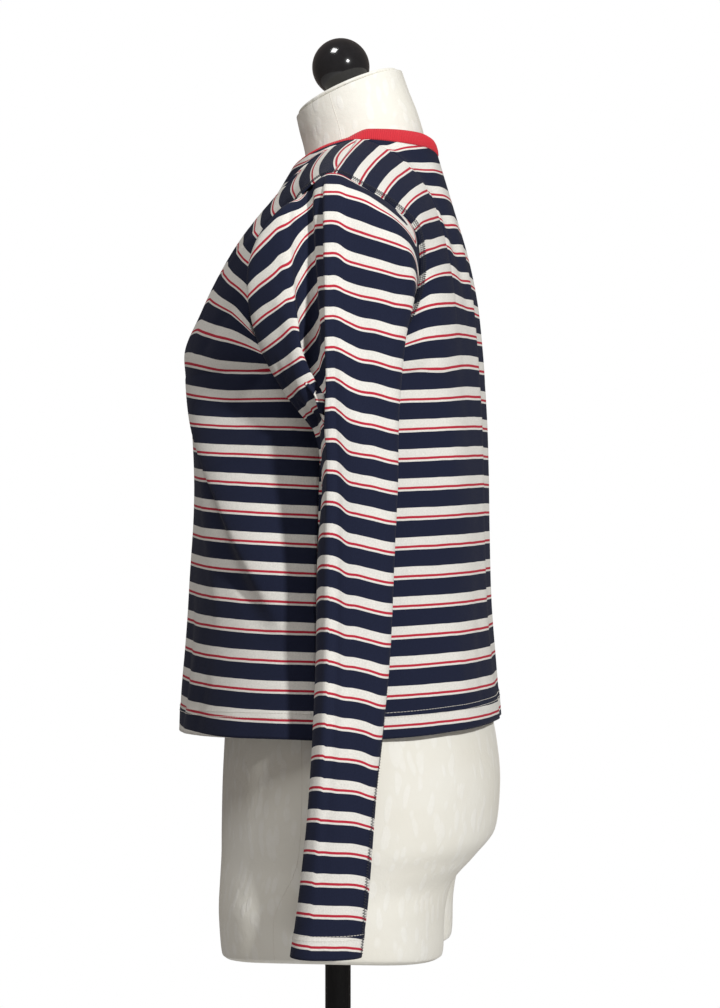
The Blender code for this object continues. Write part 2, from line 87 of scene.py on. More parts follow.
# The left armhole seam, from the shoulder tip over the front, the underarm and the back.
#   x       y       height
ARMHOLE = (
    (0.172, 0.0165, 1.349),
    (0.166, -0.008, 1.335),
    (0.155, -0.023, 1.314),
    (0.144, -0.037, 1.29),
    (0.1365, -0.05, 1.255),
    (0.137, -0.048, 1.225),
    (0.144, -0.027, 1.203),
    (0.15, 0.008, 1.195),
    (0.145, 0.045, 1.206),
    (0.1365, 0.073, 1.24),
    (0.134, 0.082, 1.278),
    (0.14, 0.079, 1.307),
    (0.152, 0.063, 1.324),
    (0.165, 0.041, 1.338),
)

# The left sleeve's sections: the middle, how far the front and back folds reach from it, half
# the depth to the outer face, how far it has turned from upright (degrees), and the valley.
#   x      y       height  front   back    depth   turn  valley
SLEEVE_SECTIONS = (
    (0.174, 0.0165, 1.262, 0.067, 0.066, 0.07, 12.0, 0.013),
    (0.1795, 0.0175, 1.23, 0.062, 0.059, 0.055, 20.0, 0.019),
    (0.182, 0.0185, 1.19, 0.0435, 0.054, 0.04, 32.0, 0.021),
    (0.184, 0.02, 1.15, 0.0175, 0.05, 0.029, 48.0, 0.006),
    (0.185, 0.0215, 1.105, 0.0118, 0.0475, 0.0225, 68.0, 0.0),
    (0.186, 0.0215, 1.05, 0.0145, 0.045, 0.02, 82.0, 0.0),
    (0.188, 0.0205, 0.96, 0.015, 0.042, 0.0192, 88.0, 0.0),
    (0.1915, 0.017, 0.88, 0.015, 0.038, 0.0195, 90.0, 0.0),
    (0.1935, 0.011, 0.8, 0.0155, 0.0375, 0.02, 90.0, 0.0),
    (0.1945, 0.007, 0.739, 0.02, 0.035, 0.0205, 90.0, 0.0),
)

# The dress form, from the thigh stubs to the neck: half width, front and back reach, how
# square the section is, and how far its back stands above its front (degrees).
#   height  half_width  front   back   square  tilt
FORM_SECTIONS = (
    (0.7102, 0.15, -0.085, 0.087, 2.6, 0.0),
    (0.7116, 0.1545, -0.0905, 0.0925, 2.6, 0.0),
    (0.718, 0.157, -0.0935, 0.096, 2.6, 0.0),
    (0.75, 0.16, -0.096, 0.0975, 2.5, 0.0),
    (0.775, 0.161, -0.0968, 0.104, 2.2, 0.0),
    (0.795, 0.162, -0.0972, 0.121, 2.0, 0.0),
    (0.815, 0.163, -0.0972, 0.134, 2.0, 0.0),
    (0.853, 0.163, -0.0965, 0.138, 2.0, 0.0),
    (0.885, 0.1625, -0.095, 0.1355, 2.0, 0.0),
    (0.92, 0.158, -0.093, 0.129, 2.0, 0.0),
    (0.97, 0.147, -0.089, 0.117, 2.0, 0.0),
    (1.03, 0.131, -0.084, 0.102, 2.0, 0.0),
    (1.07, 0.127, -0.085, 0.1, 2.0, 0.0),
    (1.12, 0.133, -0.093, 0.105, 2.0, 0.0),
    (1.17, 0.141, -0.11, 0.111, 2.0, 0.0),
    (1.212, 0.143, -0.123, 0.113, 2.0, 0.0),
    (1.245, 0.136, -0.109, 0.112, 2.0, 0.0),
    (1.28, 0.133, -0.088, 0.108, 2.0, 0.0),
    (1.31, 0.142, -0.069, 0.103, 1.9, 0.0),
    (1.33, 0.148, -0.0555, 0.0955, 1.8, 0.0),
    (1.345, 0.147, -0.046, 0.09, 1.6, 0.0),
    (1.357, 0.1265, -0.039, 0.084, 1.5, 2.0),
    (1.368, 0.101, -0.033, 0.0785, 1.6, 5.0),
    (1.378, 0.072, -0.0285, 0.0745, 1.8, 8.0),
    (1.39, 0.056, -0.027, 0.074, 2.0, 11.0),
    (1.407, 0.0495, -0.029, 0.068, 2.0, 16.0),
    (1.423, 0.047, -0.0325, 0.0605, 2.0, 20.0),
    (1.4375, 0.046, -0.0352, 0.0545, 2.0, 23.5),
)

# Folds of the front, left and right of its middle. Above 0 is a ridge, below 0 a trough.
#   across   up  half_length  width   depth   lean  spread
FRONT_FOLDS = (
    (0.13, 0.198, 0.112, 0.01, 0.012, -34.5, 3.6),
    (0.116, 0.183, 0.095, 0.008, -0.0022, -34.5, 1.0),
    (0.108, 0.15, 0.06, 0.009, 0.0016, -24.0, 1.5),
    (-0.126, 0.205, 0.098, 0.033, 0.01, 36.0, 0.32),
    (0.046, 0.075, 0.085, 0.011, 0.0022, 3.0),
    (0.071, 0.055, 0.055, 0.008, -0.0015, -3.0),
    (0.093, 0.04, 0.042, 0.009, 0.0014, 5.0),
    (0.118, 0.03, 0.03, 0.007, -0.001, 8.0),
    (0.15, 0.245, 0.048, 0.009, 0.0016, 55.0),
    (0.16, 0.292, 0.034, 0.006, -0.002, 48.0),
    (0.128, 0.345, 0.04, 0.007, -0.0016, 38.0),
    (0.115, 0.405, 0.036, 0.006, 0.0012, 30.0),
    (0.098, 0.455, 0.03, 0.006, -0.001, 28.0),
    (0.01, 0.13, 0.09, 0.014, -0.0012, -2.0),
    (-0.04, 0.085, 0.075, 0.01, 0.002, -4.0),
    (-0.068, 0.06, 0.06, 0.009, -0.0016, 2.0),
    (-0.097, 0.045, 0.038, 0.008, 0.0015, -7.0),
    (-0.149, 0.238, 0.05, 0.009, 0.0015, -52.0),
    (-0.161, 0.297, 0.032, 0.0065, -0.0021, -46.0),
    (-0.124, 0.352, 0.042, 0.007, -0.0015, -36.0),
    (-0.112, 0.412, 0.034, 0.006, 0.0012, -30.0),
)

# Folds of the back, in the same way.
BACK_FOLDS = (
    (0.0, 0.3, 0.2, 0.02, -0.003, 0.0),
    (0.036, 0.27, 0.23, 0.014, 0.0026, 1.0),
    (0.082, 0.33, 0.11, 0.013, -0.0016, 6.0),
    (0.118, 0.28, 0.08, 0.012, 0.0014, 12.0),
    (0.152, 0.29, 0.042, 0.008, -0.0018, -42.0),
    (0.066, 0.06, 0.06, 0.011, -0.0013, -3.0),
    (0.108, 0.045, 0.045, 0.01, 0.0012, 4.0),
    (-0.039, 0.262, 0.22, 0.014, 0.0026, -1.5),
    (-0.079, 0.322, 0.1, 0.013, -0.0015, -5.0),
    (-0.121, 0.272, 0.085, 0.012, 0.0015, -11.0),
    (-0.154, 0.285, 0.04, 0.008, -0.0017, 44.0),
    (-0.07, 0.055, 0.052, 0.011, -0.0012, 4.0),
    (-0.104, 0.05, 0.05, 0.01, 0.0013, -3.0),
)

# Folds of the left sleeve: across is from its crown line, above 0 towards the front.
SLEEVE_FOLDS = (
    (0.004, 0.33, 0.23, 0.0042, 0.0016, 0.0),
    (-0.0035, 0.32, 0.24, 0.003, -0.0009, 0.0),
    (-0.03, 0.44, 0.11, 0.011, -0.0016, 5.0),
    (-0.046, 0.3, 0.12, 0.01, 0.0012, -3.0),
    (-0.022, 0.15, 0.09, 0.009, -0.0012, 4.0),
    (0.016, 0.09, 0.06, 0.006, 0.001, -6.0),
    (-0.04, 0.06, 0.045, 0.008, 0.001, 8.0),
    (0.052, 0.47, 0.06, 0.008, 0.0016, 14.0),
    (0.068, 0.43, 0.045, 0.007, -0.0014, 22.0),
    (-0.062, 0.52, 0.04, 0.008, -0.0012, -16.0),
)
RIGHT_SLEEVE_FOLDS = (
    (0.006, 0.345, 0.22, 0.0045, 0.0015, 1.0),
    (-0.004, 0.3, 0.21, 0.0032, -0.0009, 0.0),
    (-0.027, 0.425, 0.12, 0.012, -0.0015, 6.0),
    (-0.044, 0.32, 0.11, 0.009, 0.0013, -4.0),
    (-0.025, 0.135, 0.08, 0.01, -0.0012, 2.0),
    (0.014, 0.11, 0.07, 0.007, 0.001, -4.0),
    (0.05, 0.462, 0.065, 0.009, 0.0015, 16.0),
    (0.07, 0.44, 0.04, 0.007, -0.0014, 20.0),
    (-0.06, 0.51, 0.045, 0.008, -0.0012, -14.0),
)

# Crest of the sleeve head: how far forward of the crown, and the lift there.
CREST = (
    (-0.04, 0.0),
    (-0.019, 0.0),
    (-0.013, 0.0004),
    (-0.0078, 0.0036),
    (-0.002, 0.0042),
    (0.004, 0.0036),
    (0.0056, -0.004),
    (0.011, -0.0052),
    (0.015, -0.005),
    (0.0198, -0.012),
    (0.0245, -0.006),
    (0.0315, 0.0),
    (0.05, 0.0),
)
# How strong the crest is at a height.
CREST_STRENGTH = ((1.085, 0.0), (1.12, 0.25), (1.165, 0.75), (1.2, 1.0), (1.305, 1.0), (1.33, 0.55),
                  (1.349, 0.0))

# How far a stripe of the sleeve lies above an even one, in millimetres: a row for each
# height, a column for each angle from the crown towards the front.
SLANT_ANGLES = (-180, -90, -60, -40, -24, -13, -6, 2.5, 4.5, 13, 18, 22, 40, 65, 90, 180)
SLANTS = (
    (0.74, (1, 1, -1.5, -3, -3.2, -3.5, -3.4, -3.4, -3.4, -4, -4, -4, -4, -4, -3, 1)),
    (0.8, (4, 3.6, -1.5, -3.2, -3.6, -3.8, -4, -4, -4, -4.5, -5, -5, -5, -4, -2, 4)),
    (0.9, (6, 4, 2.5, -1.8, -3.6, -4.2, -5, -5.5, -5.5, -6.5, -6.5, -6.5, -6, -4, -2, 6)),
    (1.0, (7, 4.6, 3.5, 1, -1.6, -2.6, -5, -7, -7, -8, -8, -8, -8, -6, -3, 7)),
    (1.08, (9, 6, 4.8, 2.2, -0.2, -2.5, -7, -9, -9, -9.2, -9.2, -9.2, -9, -6, -2, 9)),
    (1.13, (11, 7.8, 6.2, 3.2, 1.6, -1.5, -8, -9.6, -9.6, -9.8, -10, -10, -9, -2, 4, 11)),
    (1.165, (12, 7.4, 6, 3.0, 1.4, -2.4, -8, -9.6, -9.4, -8.5, -6, -1, 9, 14, 18, 12)),
    (1.2, (12, 7.2, 5.6, 2, 0, -4.5, -7.5, -7.5, -7.5, -6, 0, 14, 20, 24, 25, 12)),
    (1.225, (12, 6.3, 5, 1.8, -0.5, -5, -8.2, -8.2, -8, -7, -2, 11.5, 20, 26, 29, 12)),
    (1.25, (12, 5.6, 4.5, 1.6, -1, -4.2, -7, -7, -7.5, -8, -4, 9, 23, 28, 31, 12)),
    (1.275, (12, 7.6, 6.5, 2.6, -0.8, -4, -8, -8, -8.5, -9, -6, 6.5, 20, 27, 32, 12)),
    (1.3, (12, 8, 7, 2.8, -2, -6, -9.6, -9.8, -9.5, -9.5, -8, 2, 14, 22, 30, 12)),
    (1.335, (12, 8, 7, 2.5, -6, -8.6, -10.2, -10.4, -10.8, -11.5, -9, 0, 9, 18, 24, 12)),
)


# ---------------------------------------------------------------- curves
def through(keys: Sequence[float], values: Sequence, at: Sequence[float]) -> np.ndarray:
    """Read a smooth curve.

    Args:
        keys: Rising keys of the known values.
        values: A value or a row of values for each key.
        at: Places to read.

    Returns:
        The curve's values at those places.
    """
    keys = np.asarray(keys, float)
    values = np.asarray(values, float)
    at = np.clip(np.atleast_1d(np.asarray(at, float)), keys[0], keys[-1])
    slopes = np.gradient(values, keys, axis=0)
    span = np.clip(np.searchsorted(keys, at, side="right") - 1, 0, len(keys) - 2)
    shape = at.shape + (1,) * (values.ndim - 1)
    width = (keys[span + 1] - keys[span]).reshape(shape)
    part = (at - keys[span]).reshape(shape) / width
    return hermite(values[span], slopes[span] * width, values[span + 1], slopes[span + 1] * width, part)


def hermite(start: np.ndarray, start_slope: np.ndarray, end: np.ndarray, end_slope: np.ndarray,
            part: np.ndarray) -> np.ndarray:
    """Cubic from start to end with the given slopes."""
    square = part * part
    cube = square * part
    return (start * (2 * cube - 3 * square + 1) + start_slope * (cube - 2 * square + part)
            + end * (3 * square - 2 * cube) + end_slope * (cube - square))


def chord_keys(points: np.ndarray) -> np.ndarray:
    """Rising keys for a row of points, from the distances between them, 0 to 1."""
    steps = np.linalg.norm(np.diff(points, axis=0), axis=-1)
    if steps.ndim > 1:
        steps = steps.mean(axis=1)
    keys = np.concatenate(([0.0], np.cumsum(steps)))
    return keys / keys[-1]


def run_lengths(points: np.ndarray, axis: int) -> np.ndarray:
    """Distance along a grid of points from its first row (axis 0) or column (axis 1)."""
    steps = np.linalg.norm(np.diff(points, axis=axis), axis=-1)
    zero = np.zeros_like(np.take(steps, [0], axis=axis))
    return np.concatenate((zero, np.cumsum(steps, axis=axis)), axis=axis)


def rounded(angle: np.ndarray, square: np.ndarray) -> tuple[np.ndarray, np.ndarray]:
    """Sine and cosine of an angle, pushed out towards a square."""
    power = 2.0 / square
    sine = np.sign(np.sin(angle)) * np.abs(np.sin(angle)) ** power
    cosine = np.sign(np.cos(angle)) * np.abs(np.cos(angle)) ** power
    return sine, cosine


def evened(ring: np.ndarray, times: int) -> np.ndarray:
    """A ring of values, each replaced a number of times by the mean of itself and its neighbours."""
    for _ in range(times):
        ring = (np.roll(ring, 1, axis=0) + ring + np.roll(ring, -1, axis=0)) / 3
    return ring


def read_points(points: np.ndarray, lengths: np.ndarray, stops: np.ndarray) -> np.ndarray:
    """Points at stops along a line whose points lie at the given lengths."""
    return np.stack([np.interp(stops, lengths, column) for column in points.T], axis=1)


def smooth_step(low: float, high: float, at: np.ndarray) -> np.ndarray:
    """0 below low, 1 above high, and an S between."""
    part = np.clip((at - low) / (high - low), 0.0, 1.0)
    return part * part * (3 - 2 * part)


class Side(Enum):
    """Which panel of the shirt's body."""

    FRONT = -1
    BACK = 1


class Hand(Enum):
    """Which of the wearer's sides, as its sign in X."""

    LEFT = 1
    RIGHT = -1


# ---------------------------------------------------------------- finishes
class Shading:
    """A node material that is being put together around its Principled shader."""

    def __init__(self, name: str, roughness: float, metallic: float = 0.0, sheen: float = 0.0,
                 specular: float = 0.5, coat: float = 0.0) -> None:
        """Start a material.

        Args:
            name: The material's name.
            roughness: Roughness of the whole surface.
            metallic: Metallic value of the whole surface.
            sheen: Weight of the cloth's sheen.
            specular: Specular level.
            coat: Weight of a clear coat.
        """
        self.material = bpy.data.materials.new(name)
        self.material.use_nodes = True
        self.tree = self.material.node_tree
        self.shader = self.tree.nodes["Principled BSDF"]
        for place, value in (("Roughness", roughness), ("Metallic", metallic), ("Sheen Weight", sheen),
                             ("Sheen Roughness", 0.45), ("Specular IOR Level", specular),
                             ("Coat Weight", coat), ("Coat Roughness", 0.05)):
            self.shader.inputs[place].default_value = value

    def node(self, kind: str, **settings: object) -> bpy.types.Node:
        """Add a node of a kind, with its settings."""
        node = self.tree.nodes.new(kind)
        for name, value in settings.items():
            setattr(node, name, value)
        return node

    def feed(self, node: bpy.types.Node, place: int | str, value: object) -> None:
        """Set a node's input, from a socket or a number."""
        if isinstance(value, bpy.types.NodeSocket):
            self.tree.links.new(value, node.inputs[place])
        else:
            node.inputs[place].default_value = value

    def sum(self, operation: str, first: object, second: object = 0.0) -> bpy.types.NodeSocket:
        """A Math node's result for two sockets or numbers."""
        node = self.node("ShaderNodeMath", operation=operation)
        self.feed(node, 0, first)
        self.feed(node, 1, second)
        return node.outputs[0]

    def ramp(self, factor: object, stops: Sequence[tuple[float, tuple]]) -> bpy.types.NodeSocket:
        """A colour ramp through (place, colour) stops."""
        node = self.node("ShaderNodeValToRGB")
        elements = node.color_ramp.elements
        while len(elements) < len(stops):
            elements.new(0.5)
        for element, (place, colour) in zip(elements, stops):
            element.position = place
            element.color = (*colour, 1.0)
        self.feed(node, 0, factor)
        return node.outputs["Color"]

    def noise(self, scale: float, detail: float) -> bpy.types.NodeSocket:
        """Noise over the object's own coordinates."""
        node = self.node("ShaderNodeTexNoise")
        for place, value in (("Scale", scale), ("Detail", detail), ("Vector", self.place())):
            self.feed(node, place, value)
        return node.outputs["Fac"]

    def place(self) -> bpy.types.NodeSocket:
        """The object's own coordinates."""
        return self.node("ShaderNodeTexCoord").outputs["Object"]

    def tint(self, colour: object, other: object, factor: object) -> bpy.types.NodeSocket:
        """Mix two colours by a factor."""
        node = self.node("ShaderNodeMix", data_type="RGBA")
        self.feed(node, 0, factor)
        for place, value in ((6, colour), (7, other)):
            self.feed(node, place, value if isinstance(value, bpy.types.NodeSocket) else (*value, 1.0))
        return node.outputs[2]

    def darken(self, colour: object, shade: object, factor: float = 1.0) -> bpy.types.NodeSocket:
        """Multiply a colour by a shade, as strongly as the factor says."""
        node = self.node("ShaderNodeMix", data_type="RGBA", blend_type="MULTIPLY")
        for place, value in ((0, factor), (6, colour), (7, shade)):
            self.feed(node, place, value)
        return node.outputs[2]

    def measures(self) -> tuple[bpy.types.NodeSocket, bpy.types.NodeSocket]:
        """The cloth's own measures, across and up."""
        cloth = self.node("ShaderNodeUVMap", uv_map=UV_NAME)
        split = self.node("ShaderNodeSeparateXYZ")
        self.feed(split, 0, cloth.outputs[0])
        return split.outputs[0], split.outputs[1]

    def wave(self, value: object, length: float) -> bpy.types.NodeSocket:
        """A sine wave of a length over a value."""
        return self.sum("SINE", self.sum("MULTIPLY", value, 2 * math.pi / length))

    def bump(self, height: object, strength: float, distance: float, after: object = None) -> object:
        """A Bump node, which may follow another one."""
        node = self.node("ShaderNodeBump")
        node.inputs["Strength"].default_value = strength
        node.inputs["Distance"].default_value = distance
        self.feed(node, "Height", height)
        if after is not None:
            self.feed(node, "Normal", after)
        return node.outputs["Normal"]

    def done(self, colour: object, normal: object = None, roughness: object = None) -> bpy.types.Material:
        """Join the colour, the normal and the roughness to the shader."""
        self.feed(self.shader, "Base Color", colour)
        if normal is not None:
            self.feed(self.shader, "Normal", normal)
        if roughness is not None:
            self.feed(self.shader, "Roughness", roughness)
        return self.material


@dataclass(frozen=True)
class StripedJersey:
    """Cotton jersey knitted in navy and cream, with a fine red line in the cream."""

    name: str
    red_height: float                 # middle of the lowest red line above the cloth's zero
    repeat: float = 0.024
    navy: tuple = (0.0110, 0.0150, 0.0380)
    cream: tuple = (0.830, 0.815, 0.755)
    red: tuple = (0.520, 0.026, 0.050)
    navy_share: float = 0.566
    edge_share: float = 0.066         # cream between the navy and the red line
    red_share: float = 0.082
    softness: float = 0.010
    wale: float = 0.0013
    course: float = 0.0010

    def material(self) -> bpy.types.Material:
        """Stripes up the cloth's own height, over a fine knit."""
        shading = Shading(self.name, 0.88, sheen=0.04, specular=0.18)
        across, up = shading.measures()
        waver = shading.sum("MULTIPLY", shading.sum("SUBTRACT", shading.noise(45.0, 2.0), 0.5), 0.0009)
        height = shading.sum("ADD", up, waver)
        first_red = self.navy_share + self.edge_share
        red_end = first_red + self.red_share
        turns = shading.sum("DIVIDE", shading.sum("SUBTRACT", height, self.red_height), self.repeat)
        share = shading.sum("FRACT", shading.sum("ADD", turns, (first_red + red_end) / 2 + 1.0))
        soft = self.softness / 2
        stripes = shading.ramp(share, (
            (soft, self.navy), (self.navy_share - soft, self.navy), (self.navy_share + soft, self.cream),
            (first_red - soft, self.cream), (first_red + soft, self.red), (red_end - soft, self.red),
            (red_end + soft, self.cream), (1.0 - soft, self.cream), (1.0, self.navy)))
        heather = shading.ramp(shading.noise(900.0, 3.0), ((0.30, (0.80, 0.80, 0.80)), (0.72, WHITE)))
        broad = shading.ramp(shading.noise(9.0, 2.0), ((0.30, (0.93, 0.93, 0.94)), (0.70, WHITE)))
        aged = shading.darken(shading.darken(stripes, heather, 0.75), broad)
        wales = shading.wave(across, self.wale)
        slant = shading.sum("MULTIPLY", shading.sum("ABSOLUTE", wales), 1.6)
        courses = shading.sum("SINE", shading.sum(
            "ADD", shading.sum("MULTIPLY", up, 2 * math.pi / self.course), slant))
        knit = shading.bump(shading.sum("ADD", wales, courses), 0.30, 0.00018)
        wrinkles = shading.bump(shading.noise(70.0, 4.0), 0.25, 0.0012, knit)
        return shading.done(aged, wrinkles)


@dataclass(frozen=True)
class RibKnit:
    """The red rib of the neckband."""

    name: str = "red_rib_knit"
    red: tuple = (0.620, 0.030, 0.045)
    # painted shade: the darker red laid into the grooves between the ribs
    shade: tuple = (0.400, 0.014, 0.024)
    rib: float = 0.0017
    course: float = 0.0009

    def material(self) -> bpy.types.Material:
        """Red, with painted shade that darkens it between the ribs, and a fine knit."""
        shading = Shading(self.name, 0.82, sheen=0.15, specular=0.25)
        across, up = shading.measures()
        ribs = shading.wave(across, self.rib)
        courses = shading.wave(up, self.course)
        # painted shade: the rib wave mixes the red towards the groove colour between the ribs
        light = shading.sum("ADD", shading.sum("MULTIPLY", ribs, 0.22), 0.78)
        colour = shading.tint(self.shade, self.red, light)
        normal = shading.bump(shading.sum("ADD", ribs, shading.sum("MULTIPLY", courses, 0.3)), 0.35, 0.0002)
        return shading.done(colour, shading.bump(shading.noise(400.0, 3.0), 0.2, 0.0002, normal))


@dataclass(frozen=True)
class FormCover:
    """Cream cloth of the dress form, with a tone-on-tone woven leaf figure."""

    name: str = "form_cover_cloth"
    ground: tuple = (0.800, 0.790, 0.720)
    figure: tuple = (0.835, 0.830, 0.775)
    leaf: float = 0.011

    def leaves(self, shading: Shading, turn: float, stretch: float) -> bpy.types.NodeSocket:
        """Slim leaves at one slant, 1 on a leaf and 0 off it."""
        bend = shading.node("ShaderNodeTexNoise")
        for place, value in (("Scale", 28.0), ("Detail", 1.0), ("Vector", shading.place())):
            shading.feed(bend, place, value)
        drift = shading.node("ShaderNodeVectorMath", operation="SCALE")
        shading.feed(drift, 0, bend.outputs["Color"])
        drift.inputs["Scale"].default_value = 0.016
        moved = shading.node("ShaderNodeVectorMath", operation="ADD")
        shading.feed(moved, 0, shading.place())
        shading.feed(moved, 1, drift.outputs[0])
        mapping = shading.node("ShaderNodeMapping")
        mapping.inputs["Rotation"].default_value = (turn, turn * 0.8, turn * 0.5)
        mapping.inputs["Scale"].default_value = (1.0, 1.0, 1.0 / stretch)
        shading.feed(mapping, "Vector", moved.outputs[0])
        cells = shading.node("ShaderNodeTexVoronoi", feature="F1")
        cells.inputs["Scale"].default_value = 1.0 / self.leaf
        shading.feed(cells, "Vector", mapping.outputs[0])
        return shading.ramp(cells.outputs["Distance"], ((0.26, WHITE), (0.36, (0.0, 0.0, 0.0))))

    def material(self) -> bpy.types.Material:
        """Leaves at two slants on a plain weave; the leaves are a little smoother."""
        shading = Shading(self.name, 0.8, sheen=0.03, specular=0.18)
        both = shading.sum("MAXIMUM", self.leaves(shading, 0.7, 2.4), self.leaves(shading, -0.9, 2.8))
        veins = shading.noise(260.0, 2.0)
        figure = shading.sum("MULTIPLY", both, shading.sum("ADD", shading.sum("MULTIPLY", veins, 1.1), 0.35))
        soil = shading.ramp(shading.noise(14.0, 4.0), ((0.35, (0.965, 0.955, 0.935)), (0.65, WHITE)))
        colour = shading.tint(self.ground, self.figure, figure)
        worn = shading.darken(colour, soil)
        weave = shading.bump(shading.noise(1100.0, 2.0), 0.35, 0.0003)
        raised = shading.bump(figure, 0.30, 0.0005, weave)
        slubs = shading.bump(shading.noise(120.0, 4.0), 0.30, 0.0012, raised)
        roughness = shading.sum("SUBTRACT", 0.84, shading.sum("MULTIPLY", figure, 0.14))
        return shading.done(worn, slubs, roughness)


@dataclass(frozen=True)
class Paint:
    """A hard black finish with fine unevenness."""

    name: str
    colour: tuple
    roughness: float
    metallic: float = 0.0
    coat: float = 0.0
    grain: float = 220.0
    specular: float = 0.5

    def material(self) -> bpy.types.Material:
        """Colour and roughness that vary a little, as on a handled thing."""
        shading = Shading(self.name, self.roughness, self.metallic, coat=self.coat, specular=self.specular)
        wear = shading.noise(self.grain, 4.0)
        dusty = tuple(channel * 1.8 + 0.001 for channel in self.colour)
        colour = shading.tint(self.colour, dusty, wear)
        uneven = shading.sum("MULTIPLY", shading.noise(30.0, 3.0), 0.10)
        roughness = shading.sum("ADD", uneven, self.roughness - 0.04)
        return shading.done(colour, shading.bump(wear, 0.06, 0.0002), roughness)


@dataclass(frozen=True)
class Thread:
    """Sewing thread, twisted."""

    name: str
    colour: tuple

    def material(self) -> bpy.types.Material:
        """One dyed colour with the twist's light and dark."""
        shading = Shading(self.name, 0.7, sheen=0.1, specular=0.3)
        light = tuple(min(1.0, channel * 1.5 + 0.01) for channel in self.colour)
        return shading.done(shading.tint(self.colour, light, shading.noise(2500.0, 1.0)))


# ---------------------------------------------------------------- cloth helpers
@dataclass(frozen=True)
class Fold:
    """One soft ridge (depth above 0) or trough (below 0), in metres and degrees."""

    across: float
    up: float
    half_length: float
    width: float
    depth: float
    lean: float
    spread: float = 1.0               # how much wider it is on its outer side

    def lift(self, across: np.ndarray, up: np.ndarray) -> np.ndarray:
        """How far the fold moves each place of the cloth out."""
        lean = math.radians(self.lean)
        along = (up - self.up) * math.cos(lean) + (across - self.across) * math.sin(lean)
        aside = (across - self.across) * math.cos(lean) - (up - self.up) * math.sin(lean)
        width = np.where(aside > 0, self.width * self.spread, self.width)
        return self.depth * np.exp(-(aside / width) ** 2) * np.exp(-(along / self.half_length) ** 4)


@dataclass
class Cloth:
    """A laid piece of cloth: a grid of places with its own measures across and up."""

    points: np.ndarray
    across: np.ndarray
    up: np.ndarray
    tube: bool

    def facing(self) -> np.ndarray:
        """Unit normals of the grid, on the side away from the body's middle line."""
        grid = self.points
        if self.tube:
            grid = np.concatenate((grid[:, -2:-1], grid, grid[:, 1:2]), axis=1)
        down, over = np.gradient(grid, axis=(0, 1))
        normal = np.cross(over, down)
        if self.tube:
            normal = normal[:, 1:-1]
        normal /= np.maximum(np.linalg.norm(normal, axis=-1, keepdims=True), 1e-12)
        outward = self.points - self.points.mean(axis=1, keepdims=True) if self.tube else \
            self.points * np.array((1.0, 1.0, 0.0))
        return normal * np.sign((normal * outward).sum())

    def lift(self, amount: np.ndarray) -> None:
        """Move each place out along its normal."""
        self.points = self.points + self.facing() * amount[..., None]

    def fold(self, folds: Sequence[Fold]) -> None:
        """Lay every fold into the cloth."""
        self.lift(sum(fold.lift(self.across, self.up) for fold in folds))

    def line(self, strips: Sequence[tuple], closed: bool = False) -> "SeamLine":
        """A line that crosses each strip of the grid at a length along it.

        Args:
            strips: For each, its place in the grid, the lengths along it, and the one to read.
            closed: Whether the line ends where it starts.

        Returns:
            The line.
        """
        facing = self.facing()
        places, normals = [], []
        for index, lengths, stop in strips:
            for grid, kept in ((self.points, places), (facing, normals)):
                kept.append([np.interp(stop, lengths, column) for column in grid[index].T])
        return SeamLine(np.array(places), np.array(normals), closed)

    def mesh(self, name: str, finish: bpy.types.Material) -> bpy.types.Object:
        """Make the object.

        Args:
            name: The object's name.
            finish: Its material.

        Returns:
            The object, one face thick, with the cloth's measures as its UV map.
        """
        rows, columns = self.points.shape[:2]
        sheet = bmesh.new()
        bmesh.ops.create_grid(sheet, x_segments=columns - 1, y_segments=rows - 1, size=0.5)
        mesh = bpy.data.meshes.new(name)
        sheet.to_mesh(mesh)
        flat = np.zeros(rows * columns * 3)
        mesh.vertices.foreach_get("co", flat)
        flat = flat.reshape(-1, 3)
        order = (np.round((flat[:, 1] + 0.5) * (rows - 1)) * columns
                 + np.round((flat[:, 0] + 0.5) * (columns - 1))).astype(int)
        mesh.vertices.foreach_set("co", self.points.reshape(-1, 3)[order].ravel())
        corners = np.zeros(len(mesh.loops), int)
        mesh.loops.foreach_get("vertex_index", corners)
        measures = np.stack((self.across.ravel(), self.up.ravel()), axis=1)[order]
        layer = mesh.uv_layers.new(name=UV_NAME)
        layer.data.foreach_set("uv", measures[corners].ravel())
        sheet.free()
        sheet = bmesh.new()
        sheet.from_mesh(mesh)
        if self.tube:
            bmesh.ops.remove_doubles(sheet, verts=sheet.verts[:], dist=1e-7)
        sheet.normal_update()
        sheet.faces.ensure_lookup_table()
        want = self.facing().reshape(-1, 3)[order]
        sample = sheet.faces[len(sheet.faces) // 2]
        middle = np.array(sample.calc_center_median())
        near = np.linalg.norm(self.points.reshape(-1, 3)[order] - middle, axis=1)
        if Vector(want[near.argmin()]).dot(sample.normal) < 0:
            bmesh.ops.reverse_faces(sheet, faces=sheet.faces[:])
        return new_object(name, sheet, finish, mesh)


def new_object(name: str, shape: bmesh.types.BMesh, finish: bpy.types.Material,
               mesh: bpy.types.Mesh | None = None) -> bpy.types.Object:
    """Turn a bmesh into a smooth, dressed object.

    Args:
        name: The object's name.
        shape: Its shape, which is freed.
        finish: Its material.
        mesh: A mesh to fill, or None for a new one.

    Returns:
        The linked object, at the origin.
    """
    mesh = mesh or bpy.data.meshes.new(name)
    shape.to_mesh(mesh)
    shape.free()
    mesh.shade_smooth()
    mesh.materials.clear()
    mesh.materials.append(finish)
    thing = bpy.data.objects.new(name, mesh)
    bpy.context.scene.collection.objects.link(thing)
    return thing


def thicken(piece: bpy.types.Object, thickness: float) -> None:
    """Give a shell its wall, on the inner side."""
    wall = piece.modifiers.new("wall", "SOLIDIFY")
    wall.thickness = thickness
    wall.offset = -1.0


def place_piece(piece: bpy.types.Object, replaced: Sequence[str] = ()) -> None:
    """Ride a piece on the body, and hide the solids it stands for."""
    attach(piece, BODY)
    if replaced:
        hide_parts(*replaced)
    LOG.info("%s: %d faces", piece.name, len(piece.data.polygons))


